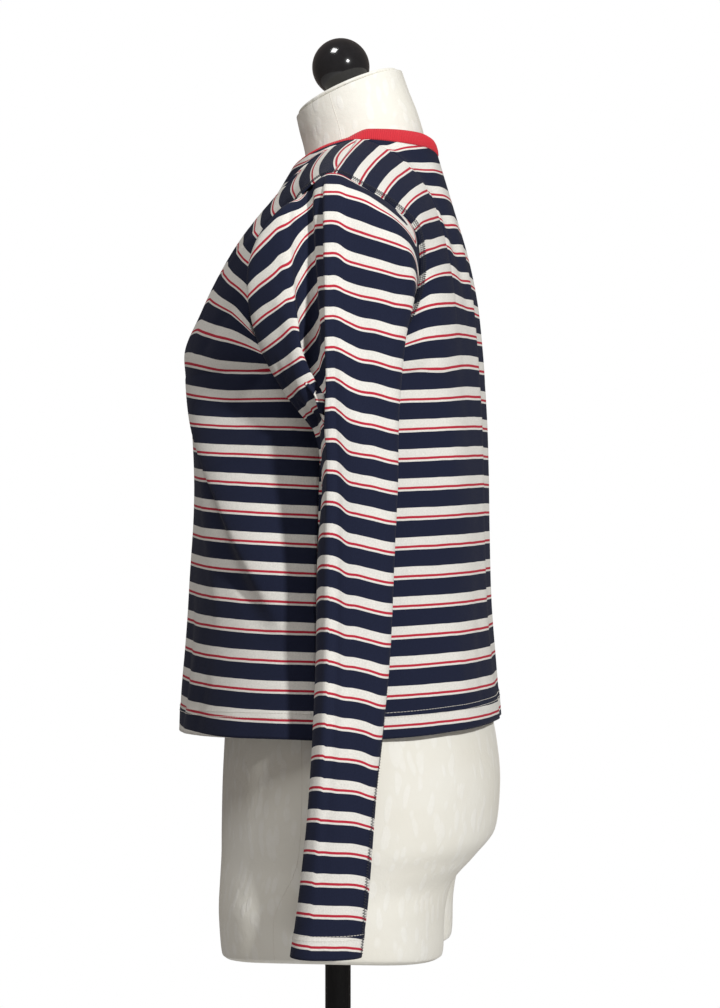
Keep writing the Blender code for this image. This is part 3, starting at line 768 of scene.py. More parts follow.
def thread_object(name: str, strokes: Sequence[np.ndarray], radius: float,
                  finish: bpy.types.Material) -> bpy.types.Object:
    """Many short threads as one mesh.

    Args:
        name: The object's name.
        strokes: The points of each thread.
        radius: Half the thread's thickness.
        finish: Its material.

    Returns:
        The object.
    """
    line = bpy.data.curves.new(name, "CURVE")
    line.dimensions = "3D"
    line.bevel_depth = radius
    line.bevel_resolution = 0
    line.use_fill_caps = True
    for stroke in strokes:
        spline = line.splines.new("POLY")
        spline.points.add(len(stroke) - 1)
        spline.points.foreach_set("co", np.concatenate((stroke, np.ones((len(stroke), 1))), axis=1).ravel())
    drawn = bpy.data.objects.new(name + "_line", line)
    bpy.context.scene.collection.objects.link(drawn)
    solid = bmesh.new()
    evaluated = drawn.evaluated_get(bpy.context.evaluated_depsgraph_get())
    solid.from_mesh(bpy.data.meshes.new_from_object(evaluated))
    bpy.data.objects.remove(drawn)
    bpy.data.curves.remove(line)
    return new_object(name, solid, finish)


@dataclass
class SeamLine:
    """A line on cloth: places, the way out of the cloth, and the way across the line."""

    points: np.ndarray
    facing: np.ndarray
    closed: bool = False

    def read(self, step: float) -> tuple[np.ndarray, np.ndarray, np.ndarray]:
        """Places, normals and cross directions at even steps along the line."""
        points, facing = self.points, self.facing
        if self.closed:
            points = np.concatenate((points, points[:1]))
            facing = np.concatenate((facing, facing[:1]))
        length = run_lengths(points[:, None], 0)[:, 0]
        stops = np.linspace(0, length[-1], max(2, round(length[-1] / step)) + 1)
        place, out = read_points(points, length, stops), read_points(facing, length, stops)
        out /= np.linalg.norm(out, axis=1, keepdims=True)
        cross = np.cross(out, np.gradient(place, axis=0))
        return place, out, cross / np.linalg.norm(cross, axis=1, keepdims=True)

    def dashes(self, pitch: float, share: float, aside: float, proud: float) -> list[np.ndarray]:
        """A run of stitches beside the line.

        Args:
            pitch: Length of a stitch.
            share: Share of it that shows as thread.
            aside: How far the run lies to the line's cross side.
            proud: How far the thread stands above the cloth.

        Returns:
            The points of each stitch.
        """
        place, out, cross = self.read(pitch)
        place = place + aside * cross
        strokes = []
        for start, end, up in zip(place, place[1:], out):
            reach = (end - start) * share
            strokes.append(np.array((start - 0.3 * proud * up, start + reach / 2 + proud * up,
                                     start + reach - 0.3 * proud * up)))
        return strokes

    def crossings(self, pitch: float, low: float, high: float, proud: float) -> list[np.ndarray]:
        """Looper threads that cross from one run of stitches to another and back."""
        place, out, cross = self.read(pitch)
        lifted = place + proud * out
        forth = lifted[:-1] + low * cross[:-1]
        back = (lifted[:-1] + lifted[1:]) / 2 + high * cross[:-1]
        strokes = []
        for first, second, third in zip(forth, back, forth[1:]):
            strokes.append(np.array((first, second, third)))
        return strokes


# ---------------------------------------------------------------- the shirt's own surfaces
@dataclass(frozen=True)
class ShirtSurface:
    """The worn shape of the shirt, read from its tables."""

    hem_tilt: float = 0.06
    neck_share: float = 0.36
    neck_half_width: float = 0.071
    neck_side: tuple = (0.024, 1.3895)
    front_neck: tuple = (-0.0395, 1.3710)
    back_neck: tuple = (0.0865, 1.3857)
    armhole_middle: tuple = (0.0165, 1.268)
    armhole_reach: tuple = (0.068, 0.078)
    valley_angle: float = 20.0
    valley_width: float = 8.0

    def armhole(self, angle: np.ndarray) -> np.ndarray:
        """Points of the left armhole seam at angles from the shoulder tip, over the front."""
        rows = np.array(ARMHOLE)
        forward = (self.armhole_middle[0] - rows[:, 1]) / self.armhole_reach[0]
        upward = (rows[:, 2] - self.armhole_middle[1]) / self.armhole_reach[1]
        turn = 2 * math.pi
        angles = np.mod(np.arctan2(forward, upward), turn)
        keys = np.concatenate((angles - turn, angles, angles + turn))
        return through(keys, np.concatenate((rows, rows, rows)), np.mod(angle, turn))

    def armhole_side(self, share: np.ndarray, side: Side) -> np.ndarray:
        """The armhole from the underarm (0) to the shoulder tip (1)."""
        bend = math.pi * (1.0 - np.atleast_1d(share))
        return self.armhole(bend if side is Side.FRONT else -bend)

    def lower_panel(self, across: np.ndarray, height: np.ndarray, side: Side) -> np.ndarray:
        """Half a panel below the underarm: across 0 at the centre, 1 at the side seam."""
        rows = np.array(BODY_SECTIONS)
        table = through(rows[:, 0], rows[:, 1:], height)
        half_width, side_y, front, back, front_square, back_square = table.T
        reach, square = (front, front_square) if side is Side.FRONT else (back, back_square)
        sine, cosine = rounded(across[None, :] * math.pi / 2, square[:, None])
        x = half_width[:, None] * sine
        y = side_y[:, None] + (reach - side_y)[:, None] * cosine
        top, bottom = rows[-1, 0], rows[0, 0]
        z = height[:, None] + self.hem_tilt * y * (top - height[:, None]) / (top - bottom)
        return np.stack((x, y, z), axis=-1)

    def top_edge(self, across: np.ndarray, side: Side) -> np.ndarray:
        """Neckline from the centre to the neck point, then the shoulder seam to its tip."""
        neck_y, neck_z = self.front_neck if side is Side.FRONT else self.back_neck
        bend = np.clip(across / self.neck_share, 0, 1) * math.pi / 2
        slide = np.clip((across - self.neck_share) / (1 - self.neck_share), 0, 1)[:, None]
        x = self.neck_half_width * np.sin(bend)
        y = self.neck_side[0] + (neck_y - self.neck_side[0]) * np.cos(bend)
        z = self.neck_side[1] + (neck_z - self.neck_side[1]) * np.cos(bend) ** 1.5
        neck_point = np.array((self.neck_half_width, *self.neck_side))
        return np.stack((x, y, z), axis=-1) + slide * (np.array(ARMHOLE[0]) - neck_point)

    def upper_panel(self, across: np.ndarray, up: np.ndarray, side: Side) -> np.ndarray:
        """Half a panel above the underarm, filled in between its four edges."""
        line = np.array(FRONT_LINE if side is Side.FRONT else BACK_LINE)
        line = np.concatenate((np.zeros((len(line), 1)), line), axis=1)
        keys = chord_keys(line)
        step = 1e-3
        chest = np.array([BODY_SECTIONS[-1][0]])
        centre = through(keys, line, up)
        edge = self.armhole_side(up, side)
        base = self.lower_panel(across, chest, side)[0]
        top = self.top_edge(across, side)
        centre_end = (through(keys, line, [1.0]) - through(keys, line, [1 - step])) / step
        edge_end = (self.armhole_side(1.0, side) - self.armhole_side(1 - step, side)) / step
        to_shoulder = smooth_step(0.4 * self.neck_share, self.neck_share + 0.04, across)[:, None]
        top_slope = (1 - to_shoulder) * centre_end + to_shoulder * edge_end
        length = np.linalg.norm(np.diff(line, axis=0), axis=1).sum()
        base_slope = np.tile((0.0, 0.0, length), (len(across), 1))
        part = up[:, None, None]
        filled = hermite(base[None], base_slope[None], top[None], top_slope[None], part)
        limits = np.array([0.0, 1.0])
        first = self.lower_panel(limits, chest, side)[0]
        last = self.top_edge(limits, side)
        end_slopes = np.concatenate((centre_end, edge_end))
        ends = hermite(first[None], base_slope[None, :2], last[None], end_slopes[None], part)
        weight = (across ** 2)[None, :, None]
        return (filled + (1 - weight) * (centre[:, None] - ends[:, :1])
                + weight * (edge[:, None] - ends[:, 1:]))

    def sleeve(self, angle: np.ndarray, along: np.ndarray) -> np.ndarray:
        """The left sleeve: angle from the crown, along 0 at the armhole, 1 at the cuff."""
        even = self.sleeve_keys(np.linspace(0, 2 * math.pi, 48, endpoint=False))
        return through(chord_keys(even), self.sleeve_keys(angle), along)

    def sleeve_keys(self, angle: np.ndarray) -> np.ndarray:
        """The sleeve's key sections at the given angles, armhole first."""
        rings = [self.armhole(angle)]
        for x, y, height, front, back, depth, turn, valley in SLEEVE_SECTIONS:
            off = (np.degrees(angle) - self.valley_angle + 180.0) % 360.0 - 180.0
            trough = valley * np.exp(-(off / self.valley_width) ** 2)
            forward = np.where(np.sin(angle) > 0, front, back) * np.sin(angle)
            outward = depth * np.cos(angle) - trough
            lean = math.radians(turn)
            rings.append(np.stack((x + outward * math.sin(lean), y - forward,
                                   height + outward * math.cos(lean)), axis=-1))
        return np.array(rings)


@dataclass
class BodyPanel:
    """The front or the back of the shirt's body, with how its stripes lie."""

    name: str
    side: Side
    folds: tuple
    red_height: float
    starts: tuple                 # pattern height of the hem's height, at the centre and the side
    rates: tuple                  # pattern height for each metre up, at the centre and the side
    neck_heights: tuple           # (share of the neckline from its middle, pattern height)
    armhole_heights: tuple        # (share of the armhole's turn from the underarm, pattern height)
    shoulder_sag: float           # how far the pattern dips in the middle of the shoulder seam
    eases: tuple                  # (share across, rise, width, reach, how far the pattern is raised)
    hem_raise: float              # how far the worn hem is drawn up at the side
    hem_curve: float              # how much more of that it is at the centre
    surface: ShirtSurface
    half_columns: int = 86
    lower_rows: int = 118
    upper_rows: int = 104
    wall: float = 0.0012
    rise_height: float = 0.2      # height of the part above the underarm
    hem_height: float = 0.0205
    hem_step: float = 0.0005
    seam_tuck: float = 0.0008
    seam_reach: float = 0.0030

    def lay(self) -> Cloth:
        """Lay the panel's grid, with its measures and folds."""
        neck_columns = round(self.half_columns * self.surface.neck_share)
        share = self.surface.neck_share
        half = np.concatenate((np.linspace(0, share, neck_columns + 1)[:-1],
                               np.linspace(share, 1, self.half_columns - neck_columns + 1)))
        bottom, chest = BODY_SECTIONS[0][0], BODY_SECTIONS[-1][0]
        heights = np.linspace(bottom, chest, self.lower_rows + 1)[:-1]
        rise = np.linspace(0, 1, self.upper_rows + 1)
        lower = self.surface.lower_panel(half, heights, self.side)
        upper = self.surface.upper_panel(half, rise, self.side)
        drawn = self.hem_raise * np.exp(-((heights - bottom) / 0.05) ** 2)
        drawn = drawn[:, None] * (1 + self.hem_curve * (1 - half ** 6))
        lower[:, :, 2] += drawn
        points = np.concatenate((lower, upper))
        up = self.pattern_heights(half, heights, rise, upper)
        up[:len(heights)] += drawn
        flip = np.array((-1.0, 1.0, 1.0))
        points = np.concatenate((points[:, :0:-1] * flip, points), axis=1)
        up = np.concatenate((up[:, :0:-1], up), axis=1)
        run = run_lengths(points, 1)
        middle = run[:, self.half_columns:self.half_columns + 1]
        cloth = Cloth(points, run - middle, up, tube=False)
        cloth.fold([Fold(*row) for row in self.folds])
        self.sew(cloth, run)
        return cloth

    def pattern_heights(self, half: np.ndarray, heights: np.ndarray, rise: np.ndarray,
                        upper: np.ndarray) -> np.ndarray:
        """How high each place lies in the cloth's stripes.

        Args:
            half: Columns from the centre to the side.
            heights: Rows from the hem to the underarm.
            rise: Rows from the underarm to the shoulder.
            upper: Places above the underarm.

        Returns:
            Pattern heights of the lower rows, then of the upper ones.
        """
        rows = np.concatenate((heights, BODY_SECTIONS[-1][:1]))[:, None]
        start = self.starts[0] + (self.starts[1] - self.starts[0]) * half
        rate = self.rates[0] + (self.rates[1] - self.rates[0]) * half
        low = start + rate * (rows - BODY_SECTIONS[0][0])
        base = low[-1]
        neck = np.array(self.neck_heights)
        armhole = np.array(self.armhole_heights)
        armhole[0, 1] = base[-1]
        share = self.surface.neck_share
        slide = np.clip((half - share) / (1 - share), 0, 1)
        top = through(neck[:, 0], neck[:, 1], half / share)
        top = top + slide * (armhole[-1, 1] - neck[-1, 1]) - 4 * self.shoulder_sag * slide * (1 - slide)
        run = run_lengths(upper, 0)
        filled = base + (top - base) * run / run[-1:]
        edge = np.interp(rise, armhole[:, 0], armhole[:, 1])
        high = filled + (half ** 2)[None] * (edge[:, None] - filled[:, -1:])
        level = np.concatenate(((rows[:-1, 0] - BODY_SECTIONS[-1][0]) / self.rise_height, rise))[:, None]
        eased = sum(amount * np.exp(-((half - across) / width) ** 2) * np.exp(-((level - up) / reach) ** 2)
                    for across, up, width, reach, amount in self.eases)
        return np.concatenate((low[:-1], high)) + eased

    def sew(self, cloth: Cloth, run: np.ndarray) -> None:
        """Draw the cloth in at its seams, and make its hem double."""
        edge = np.minimum(run, run[:, -1:] - run)
        from_hem = run_lengths(cloth.points, 0)
        from_top = from_hem[-1:] - from_hem
        columns = np.abs(np.arange(run.shape[1]) - self.half_columns) / self.half_columns
        on_shoulder = smooth_step(self.surface.neck_share, self.surface.neck_share + 0.02, columns)[None]
        tuck = np.exp(-(edge / self.seam_reach) ** 2)
        tuck = np.maximum(tuck, on_shoulder * np.exp(-(from_top / self.seam_reach) ** 2))
        double = self.hem_step * (1 - smooth_step(self.hem_height, self.hem_height + 0.0022, from_hem))
        ripple = 0.0007 * np.sin(cloth.across * 95.0 + 1.3 * np.sin(cloth.across * 31.0))
        ripple = ripple * np.exp(-(from_hem / 0.022) ** 2) * (1 - tuck)
        cloth.lift(double + ripple - self.seam_tuck * tuck)

    def build(self, finish: bpy.types.Material) -> tuple[bpy.types.Object, Cloth]:
        """Lay the panel and make its piece."""
        cloth = self.lay()
        piece = cloth.mesh(self.name + "_cloth", finish)
        thicken(piece, self.wall)
        place_piece(piece, [self.name])
        return piece, cloth

    def armhole_line(self, cloth: Cloth, hand: Hand, inset: float) -> SeamLine:
        """A line on the panel that keeps a distance from its armhole."""
        run = run_lengths(cloth.points, 1)
        return cloth.line([(row, run[row], run[row, -1] - inset if hand is Hand.LEFT else inset)
                           for row in range(self.lower_rows, len(run))])

    def level_line(self, cloth: Cloth, height: float) -> SeamLine:
        """A line on the panel at a distance up from its hem."""
        run = run_lengths(cloth.points, 0)
        return cloth.line([(np.s_[:, column], run[:, column], height) for column in range(run.shape[1])])


@dataclass
class Sleeve:
    """One long sleeve, hanging empty."""

    name: str
    hand: Hand
    folds: tuple
    surface: ShirtSurface
    columns: int = 132
    rows: int = 236
    wall: float = 0.0012
    cuff_height: float = 0.0180
    cuff_step: float = 0.0005
    seam_tuck: float = 0.0008
    seam_reach: float = 0.0035
    cap_ease: float = 0.030           # how far the stripes sink beside the armhole's back
    cap_reach: float = 0.012
    seam_turns: tuple = ((0.0, -180.0), (0.35, -150.0), (0.68, -96.0), (0.80, -76.0),
                         (0.90, -71.0), (1.0, -82.0))

    def angles(self) -> np.ndarray:
        """Angles of the columns, closer together at the crest."""
        even = np.linspace(-1.0, 1.0, self.columns + 1)
        return math.pi * (0.45 * even + 0.55 * even ** 3)

    def lay(self) -> Cloth:
        """Lay the sleeve's grid, with its measures and folds."""
        angle = self.angles()
        along = np.linspace(0, 1, self.rows + 1)
        points = self.surface.sleeve(angle, along)
        points[:, -1] = points[:, 0]
        run = run_lengths(points, 1)
        crown = run[:, self.columns // 2:self.columns // 2 + 1]
        down = run_lengths(points, 0)
        up = down[-1:] - down
        degrees = np.degrees(angle)
        columns = through(SLANT_ANGLES, np.array([row for _, row in SLANTS]).T / 1000.0, degrees)
        heights = [height for height, _ in SLANTS]
        slant = np.stack([np.interp(points[:, place, 2], heights, columns[place])
                          for place in range(len(angle))], axis=1)
        slant = slant - self.cap_ease * (np.exp(-((degrees + 60.0) / 25.0) ** 2)
                                         * np.exp(-(down / self.cap_reach) ** 2))
        sections = np.array(SLEEVE_SECTIONS)[::-1]
        reach = np.interp(points[:, :, 2], sections[:, 2], sections[:, 3])
        crest = np.array(CREST)
        strength = np.array(CREST_STRENGTH)
        raised = np.interp(np.sin(angle) * reach, crest[:, 0], crest[:, 1])
        raised = raised * np.interp(points[:, :, 2], strength[:, 0], strength[:, 1])
        raised = raised * (np.cos(angle) > 0)
        cloth = Cloth(points, run - crown, up, tube=True)
        cloth.fold([Fold(*row) for row in self.folds])
        cloth.lift(raised)
        seam = np.exp(-(down / self.seam_reach) ** 2)
        double = self.cuff_step * (1 - smooth_step(self.cuff_height, self.cuff_height + 0.002, up))
        cloth.lift(double - self.seam_tuck * seam)
        cloth.up = up + slant
        cloth.points = cloth.points * np.array((self.hand.value, 1.0, 1.0))
        return cloth

    def build(self, finish: bpy.types.Material) -> tuple[bpy.types.Object, Cloth]:
        """Lay the sleeve and make its piece."""
        cloth = self.lay()
        piece = cloth.mesh(self.name + "_cloth", finish)
        thicken(piece, self.wall)
        place_piece(piece, [self.name])
        return piece, cloth

    def cuff_line(self, cloth: Cloth, height: float) -> SeamLine:
        """A line round the sleeve at a distance up from its cuff."""
        down = run_lengths(cloth.points, 0)
        along = down[-1:] - down[::-1]
        return cloth.line([(np.s_[::-1, column], along[:, column], height) for column in range(self.columns)],
                          closed=True)

    def underarm_line(self, cloth: Cloth) -> SeamLine:
        """The underarm seam, which turns towards the back as it nears the cuff."""
        turns = np.array(self.seam_turns)
        rows = np.linspace(0.02, 1.0, 200)
        degrees = through(turns[:, 0], turns[:, 1], rows)
        row = np.round(rows * self.rows).astype(int)
        column = np.interp(degrees, np.degrees(self.angles()), np.arange(self.columns + 1))
        low = np.floor(column).astype(int)
        part = (column - low)[:, None]
        facing = cloth.facing()
        places = cloth.points[row, low] * (1 - part) + cloth.points[row, low + 1] * part
        normals = facing[row, low] * (1 - part) + facing[row, low + 1] * part
        return SeamLine(places, normals)


@dataclass
class Neckband:
    """The red rib band round the neckline."""

    ribs: int = 250
    points_per_rib: int = 4
    rib_depth: float = 0.00022
    front_lean: float = 0.62          # how far the band lies flat in front
    lean_start: float = 0.034         # where along Y it begins to, and where it has
    lean_end: float = 0.014
    # Its section: up from the neckline, and out from the cloth's face.
    section: tuple = (
        (-0.0006, -0.0002), (0.0012, 0.0006), (0.0045, 0.0012), (0.0085, 0.0012), (0.0112, 0.0007),
        (0.0124, -0.0002), (0.0124, -0.0012), (0.0112, -0.0018), (0.0070, -0.0020), (0.0020, -0.0020),
    )

    def ring(self, front: Cloth, back: Cloth, panel: BodyPanel) -> tuple[np.ndarray, np.ndarray]:
        """The neckline all round, and the way the panels face there."""
        reach = round(panel.half_columns * panel.surface.neck_share)
        span = slice(panel.half_columns - reach, panel.half_columns + reach + 1)
        front_row, back_row = front.points[-1, span], back.points[-1, span][::-1]
        front_face, back_face = front.facing()[-1, span], back.facing()[-1, span][::-1]
        points = np.concatenate((front_row, back_row[1:-1]))
        facing = evened(np.concatenate((front_face, back_face[1:-1])), 12)
        return points, facing / np.linalg.norm(facing, axis=1, keepdims=True)

    def build(self, front: Cloth, back: Cloth, panel: BodyPanel) -> bpy.types.Object:
        """Make the band as a closed, rolled ring with raised ribs."""
        points, facing = self.ring(front, back, panel)
        closed = np.concatenate((points, points[:1]))
        length = run_lengths(closed[:, None], 0)[:, 0]
        count = self.ribs * self.points_per_rib
        stops = np.linspace(0, length[-1], count + 1)
        around = read_points(closed, length, stops)
        around[:-1] = evened(around[:-1], 6)
        around[-1] = around[0]
        out = read_points(np.concatenate((facing, facing[:1])), length, stops)
        along = np.gradient(np.concatenate((around[-2:-1], around, around[1:2])), axis=0)[1:-1]
        rise = np.cross(out, along)
        rise /= np.linalg.norm(rise, axis=1, keepdims=True)
        rise *= np.sign(rise[:, 2:])
        inward = -around * np.array((1.0, 1.0, 0.0))
        inward /= np.linalg.norm(inward, axis=1, keepdims=True)
        flat = self.front_lean * (1 - smooth_step(self.lean_end, self.lean_start, around[:, 1]))[:, None]
        rise = (1 - flat) * rise + flat * inward
        rise /= np.linalg.norm(rise, axis=1, keepdims=True)
        rib = self.rib_depth * np.cos(np.arange(count + 1) * 2 * math.pi / self.points_per_rib)
        profile = np.array(self.section + self.section[:1])
        grid, across, up = [], [], []
        for height, proud in profile:
            swell = proud + (rib if 0 < height < 0.0124 and proud > 0 else 0.0)
            grid.append(around + height * rise + np.multiply(swell, np.ones(count + 1))[:, None] * out)
            across.append(stops)
            up.append(np.full(count + 1, height))
        cloth = Cloth(np.array(grid), np.array(across), np.array(up), tube=True)
        piece = cloth.mesh("neckband_rib", RibKnit().material())
        mesh = bmesh.new()
        mesh.from_mesh(piece.data)
        bmesh.ops.remove_doubles(mesh, verts=mesh.verts[:], dist=1e-7)
        bmesh.ops.recalc_face_normals(mesh, faces=mesh.faces[:])
        mesh.to_mesh(piece.data)
        mesh.free()
        piece.data.shade_smooth()
        place_piece(piece, ["neckband"])
        return piece


@dataclass
class Sewing:
    """The threads that show: flat seams at the armholes, and the hems' twin rows."""

    thread: bpy.types.Material
    hem_thread: bpy.types.Material
    radius: float = 0.00022
    pitch: float = 0.0017
    hem_pitch: float = 0.0029
    proud: float = 0.00035
    armhole_insets: tuple = (0.0016, 0.0041, 0.0066)
    hem_heights: tuple = (0.0165, 0.0205)
    cuff_heights: tuple = (0.0150, 0.0185)

    def armholes(self, panels: Sequence[tuple[BodyPanel, Cloth]]) -> list[bpy.types.Object]:
        """Three rows and a looper on each panel beside each armhole."""
        pieces = []
        for panel, cloth in panels:
            for hand in Hand:
                strokes = []
                for inset in self.armhole_insets:
                    line = panel.armhole_line(cloth, hand, inset)
                    strokes += line.dashes(self.pitch, 0.85, 0.0, self.proud)
                middle = panel.armhole_line(cloth, hand, self.armhole_insets[1])
                strokes += middle.crossings(self.pitch, -0.0025, 0.0025, self.proud)
                pieces.append(self.piece(f"{panel.name}_{hand.name.lower()}_armhole_stitches", strokes))
        return pieces

    def hems(self, panels: Sequence[tuple[BodyPanel, Cloth]]) -> list[bpy.types.Object]:
        """Twin rows above the body's hem."""
        pieces = []
        for panel, cloth in panels:
            strokes = []
            for height in self.hem_heights:
                strokes += panel.level_line(cloth, height).dashes(self.hem_pitch, 0.78, 0.0, self.proud)
            pieces.append(self.piece(f"{panel.name}_hem_stitches", strokes, self.hem_thread))
        return pieces

    def sleeves(self, sleeves: Sequence[tuple[Sleeve, Cloth]]) -> list[bpy.types.Object]:
        """Twin rows at each cuff, and the underarm seam's ladder."""
        pieces = []
        for sleeve, cloth in sleeves:
            strokes = []
            for height in self.cuff_heights:
                strokes += sleeve.cuff_line(cloth, height).dashes(self.hem_pitch, 0.78, 0.0, self.proud)
            pieces.append(self.piece(f"{sleeve.name}_cuff_stitches", strokes, self.hem_thread))
            seam = sleeve.underarm_line(cloth)
            ladder = seam.crossings(self.pitch * 1.3, -0.0022, 0.0022, self.proud)
            ladder += seam.dashes(self.pitch * 1.3, 0.8, 0.0, self.proud)
            pieces.append(self.piece(f"{sleeve.name}_underarm_stitches", ladder))
        return pieces

    def piece(self, name: str, strokes: Sequence[np.ndarray],
              thread: bpy.types.Material | None = None) -> bpy.types.Object:
        """One piece of sewing, in the seams' thread or another."""
        made = thread_object(name, strokes, self.radius, thread or self.thread)
        place_piece(made)
        return made


@dataclass
class DressForm:
    """The covered form, its neck cap and its ball."""

    sides: int = 144
    rows: int = 168
    slot_half_width: float = 0.0125
    slot_top: float = 0.790
    slot_corner: float = 0.0012
    stub_rise: float = 0.015          # how much higher a stub ends at its outer side
    parting: tuple = (0.019, 0.026, 0.735, 0.815)   # the hollow behind: depth, width, full, gone
    gap: float = 0.0004
    cap_radius: float = 0.0460
    cap_thickness: float = 0.003
    ball_radius: float = 0.0245
    ball_foot: float = 0.0125
    ball_shift: float = 0.0030        # how far behind the neck's middle the ball stands
    seam_radius: float = 0.0005
    seam_turns: tuple = (0.0, 74.0, 180.0, 286.0)   # the front's middle, the sides and the back's

    def skin(self) -> Cloth:
        """The form's surface as a grid of rings."""
        rows = np.array(FORM_SECTIONS)
        keys = np.arange(len(rows), dtype=float)
        table = through(keys, rows, np.linspace(0, keys[-1], self.rows + 1))
        angle = np.linspace(0, 2 * math.pi, self.sides + 1)
        rings = []
        for height, half_width, front, back, square, tilt in table:
            sine, cosine = rounded(angle, square)
            middle = (front + back) / 2
            y = middle - (back - front) / 2 * cosine
            depth, width, full, gone = self.parting
            hollow = depth * np.exp(-(half_width * sine / width) ** 2) * (1 - smooth_step(full, gone, height))
            y = y - hollow * (y > middle)
            rise = self.stub_rise * (half_width * sine / 0.155) ** 2 * (1 - smooth_step(0.715, 0.790, height))
            rings.append(np.stack((half_width * sine, y,
                                   height + rise + (y - middle) * math.tan(math.radians(tilt))), axis=-1))
        points = np.array(rings)
        return Cloth(points, run_lengths(points, 1), run_lengths(points, 0), tube=True)

    def torso(self, finish: bpy.types.Material) -> bpy.types.Object:
        """The closed torso, with the parting between its thigh stubs."""
        piece = self.skin().mesh("form_torso_cover", finish)
        body = bmesh.new()
        body.from_mesh(piece.data)
        bmesh.ops.holes_fill(body, edges=[edge for edge in body.edges if edge.is_boundary])
        bmesh.ops.recalc_face_normals(body, faces=body.faces[:])
        body.to_mesh(piece.data)
        body.free()
        cutter = self.slot_cutter()
        cut = piece.modifiers.new("thigh_parting", "BOOLEAN")
        cut.operation = "DIFFERENCE"
        cut.solver = "EXACT"
        cut.object = cutter
        evaluated = piece.evaluated_get(bpy.context.evaluated_depsgraph_get())
        whole = bpy.data.meshes.new_from_object(evaluated)
        piece.modifiers.clear()
        piece.data = whole
        bpy.data.objects.remove(cutter)
        whole.materials.clear()
        whole.materials.append(finish)
        whole.shade_smooth()
        whole.set_sharp_from_angle(angle=math.radians(50))
        place_piece(piece, ["form_torso"])
        return piece

    def slot_cutter(self) -> bpy.types.Object:
        """A flat-roofed slot along Y, open below the form."""
        sheet = bmesh.new()
        depth, floor = 0.3, 0.6
        half, top, corner = self.slot_half_width, self.slot_top, self.slot_corner
        outline = [(half, floor), (half, top - corner), (half - corner, top), (corner - half, top),
                   (-half, top - corner), (-half, floor)]
        face = sheet.faces.new([sheet.verts.new((x, -depth, z)) for x, z in outline])
        grown = bmesh.ops.extrude_face_region(sheet, geom=[face])
        moved = [item for item in grown["geom"] if isinstance(item, bmesh.types.BMVert)]
        bmesh.ops.translate(sheet, verts=moved, vec=(0, 2 * depth, 0))
        bmesh.ops.recalc_face_normals(sheet, faces=sheet.faces[:])
        return new_object("slot_cutter", sheet, None)

    def neck_placing(self, rise: float, shift: float = 0.0) -> Matrix:
        """The neck's end plane, moved up its own normal and back along itself."""
        height, _, front, back, _, tilt = FORM_SECTIONS[-1]
        turn = Matrix.Rotation(math.radians(tilt), 4, "X")
        middle = Matrix.Translation((0, (front + back) / 2, height))
        return middle @ turn @ Matrix.Translation((0, shift, rise))

    def turned(self, name: str, profile: Sequence[tuple[float, float]], sides: int, rise: float,
               finish: bpy.types.Material, shift: float = 0.0) -> bpy.types.Object:
        """A solid of revolution on the neck, from (radius, height) points."""
        lathe = bmesh.new()
        verts = [lathe.verts.new((radius, 0.0, height)) for radius, height in profile]
        edges = [lathe.edges.new(pair) for pair in zip(verts, verts[1:])]
        bmesh.ops.spin(lathe, geom=verts + edges, cent=(0, 0, 0), axis=(0, 0, 1), dvec=(0, 0, 0),
                       angle=2 * math.pi, steps=sides, use_merge=True, use_duplicate=False)
        bmesh.ops.remove_doubles(lathe, verts=lathe.verts[:], dist=1e-6)
        bmesh.ops.transform(lathe, matrix=self.neck_placing(rise, shift), verts=lathe.verts[:])
        bmesh.ops.recalc_face_normals(lathe, faces=lathe.faces[:])
        return new_object(name, lathe, finish)

    def cap(self, finish: bpy.types.Material) -> bpy.types.Object:
        """The covered disc, its edge rounded."""
        edge = self.cap_thickness / 2
        profile = [(0.0, 0.0), (self.cap_radius - edge, 0.0)]
        steps = 8
        for step in range(1, steps):
            turn = math.pi * step / steps
            profile.append((self.cap_radius - edge + edge * math.sin(turn), edge - edge * math.cos(turn)))
        profile += [(self.cap_radius - edge, self.cap_thickness), (0.0, self.cap_thickness)]
        piece = self.turned("neck_cap_cover", profile, 96, self.gap, finish)
        piece.data.set_sharp_from_angle(angle=math.radians(50))
        place_piece(piece, ["neck_cap"])
        return piece

    def ball(self) -> bpy.types.Object:
        """The black ball, flattened where it stands on the cap."""
        start = math.asin(self.ball_foot / self.ball_radius)
        sink = self.ball_radius * math.cos(start)
        steps = 40
        profile = [(0.0, 0.0)]
        for step in range(steps):
            turn = start + (math.pi - start) * step / steps
            profile.append((self.ball_radius * math.sin(turn), sink - self.ball_radius * math.cos(turn)))
        profile.append((0.0, sink + self.ball_radius))
        finish = Paint("finial_gloss", (0.008, 0.008, 0.009), 0.14, coat=0.6).material()
        piece = self.turned("finial_ball_gloss", profile, 80, 2 * self.gap + self.cap_thickness, finish,
                            self.ball_shift)
        place_piece(piece, ["finial_ball"])
        return piece

    def seams(self, finish: bpy.types.Material) -> bpy.types.Object:
        """The cover's own seams: the sides, and the middle of the front and back."""
        skin = self.skin()
        facing = skin.facing()
        strokes = []
        for degrees in self.seam_turns:
            column = round(degrees / 360.0 * self.sides)
            strokes.append(skin.points[4:, column] - 0.00022 * facing[4:, column])
        piece = thread_object("form_cover_seams", strokes, self.seam_radius, finish)
        place_piece(piece)
        return piece


class Stand:
    """The pole and the round base, which keep the part's own solids."""

    @staticmethod
    def dress() -> None:
        """Paint both solids."""
        finish = Paint("satin_black_paint", (0.0030, 0.0030, 0.0032), 0.42, specular=0.22).material()
        for node in ("stand_pole", "stand_base"):
            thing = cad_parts[node]
            thing.data.materials.clear()
            thing.data.materials.append(finish)
            LOG.info("%s: painted", node)


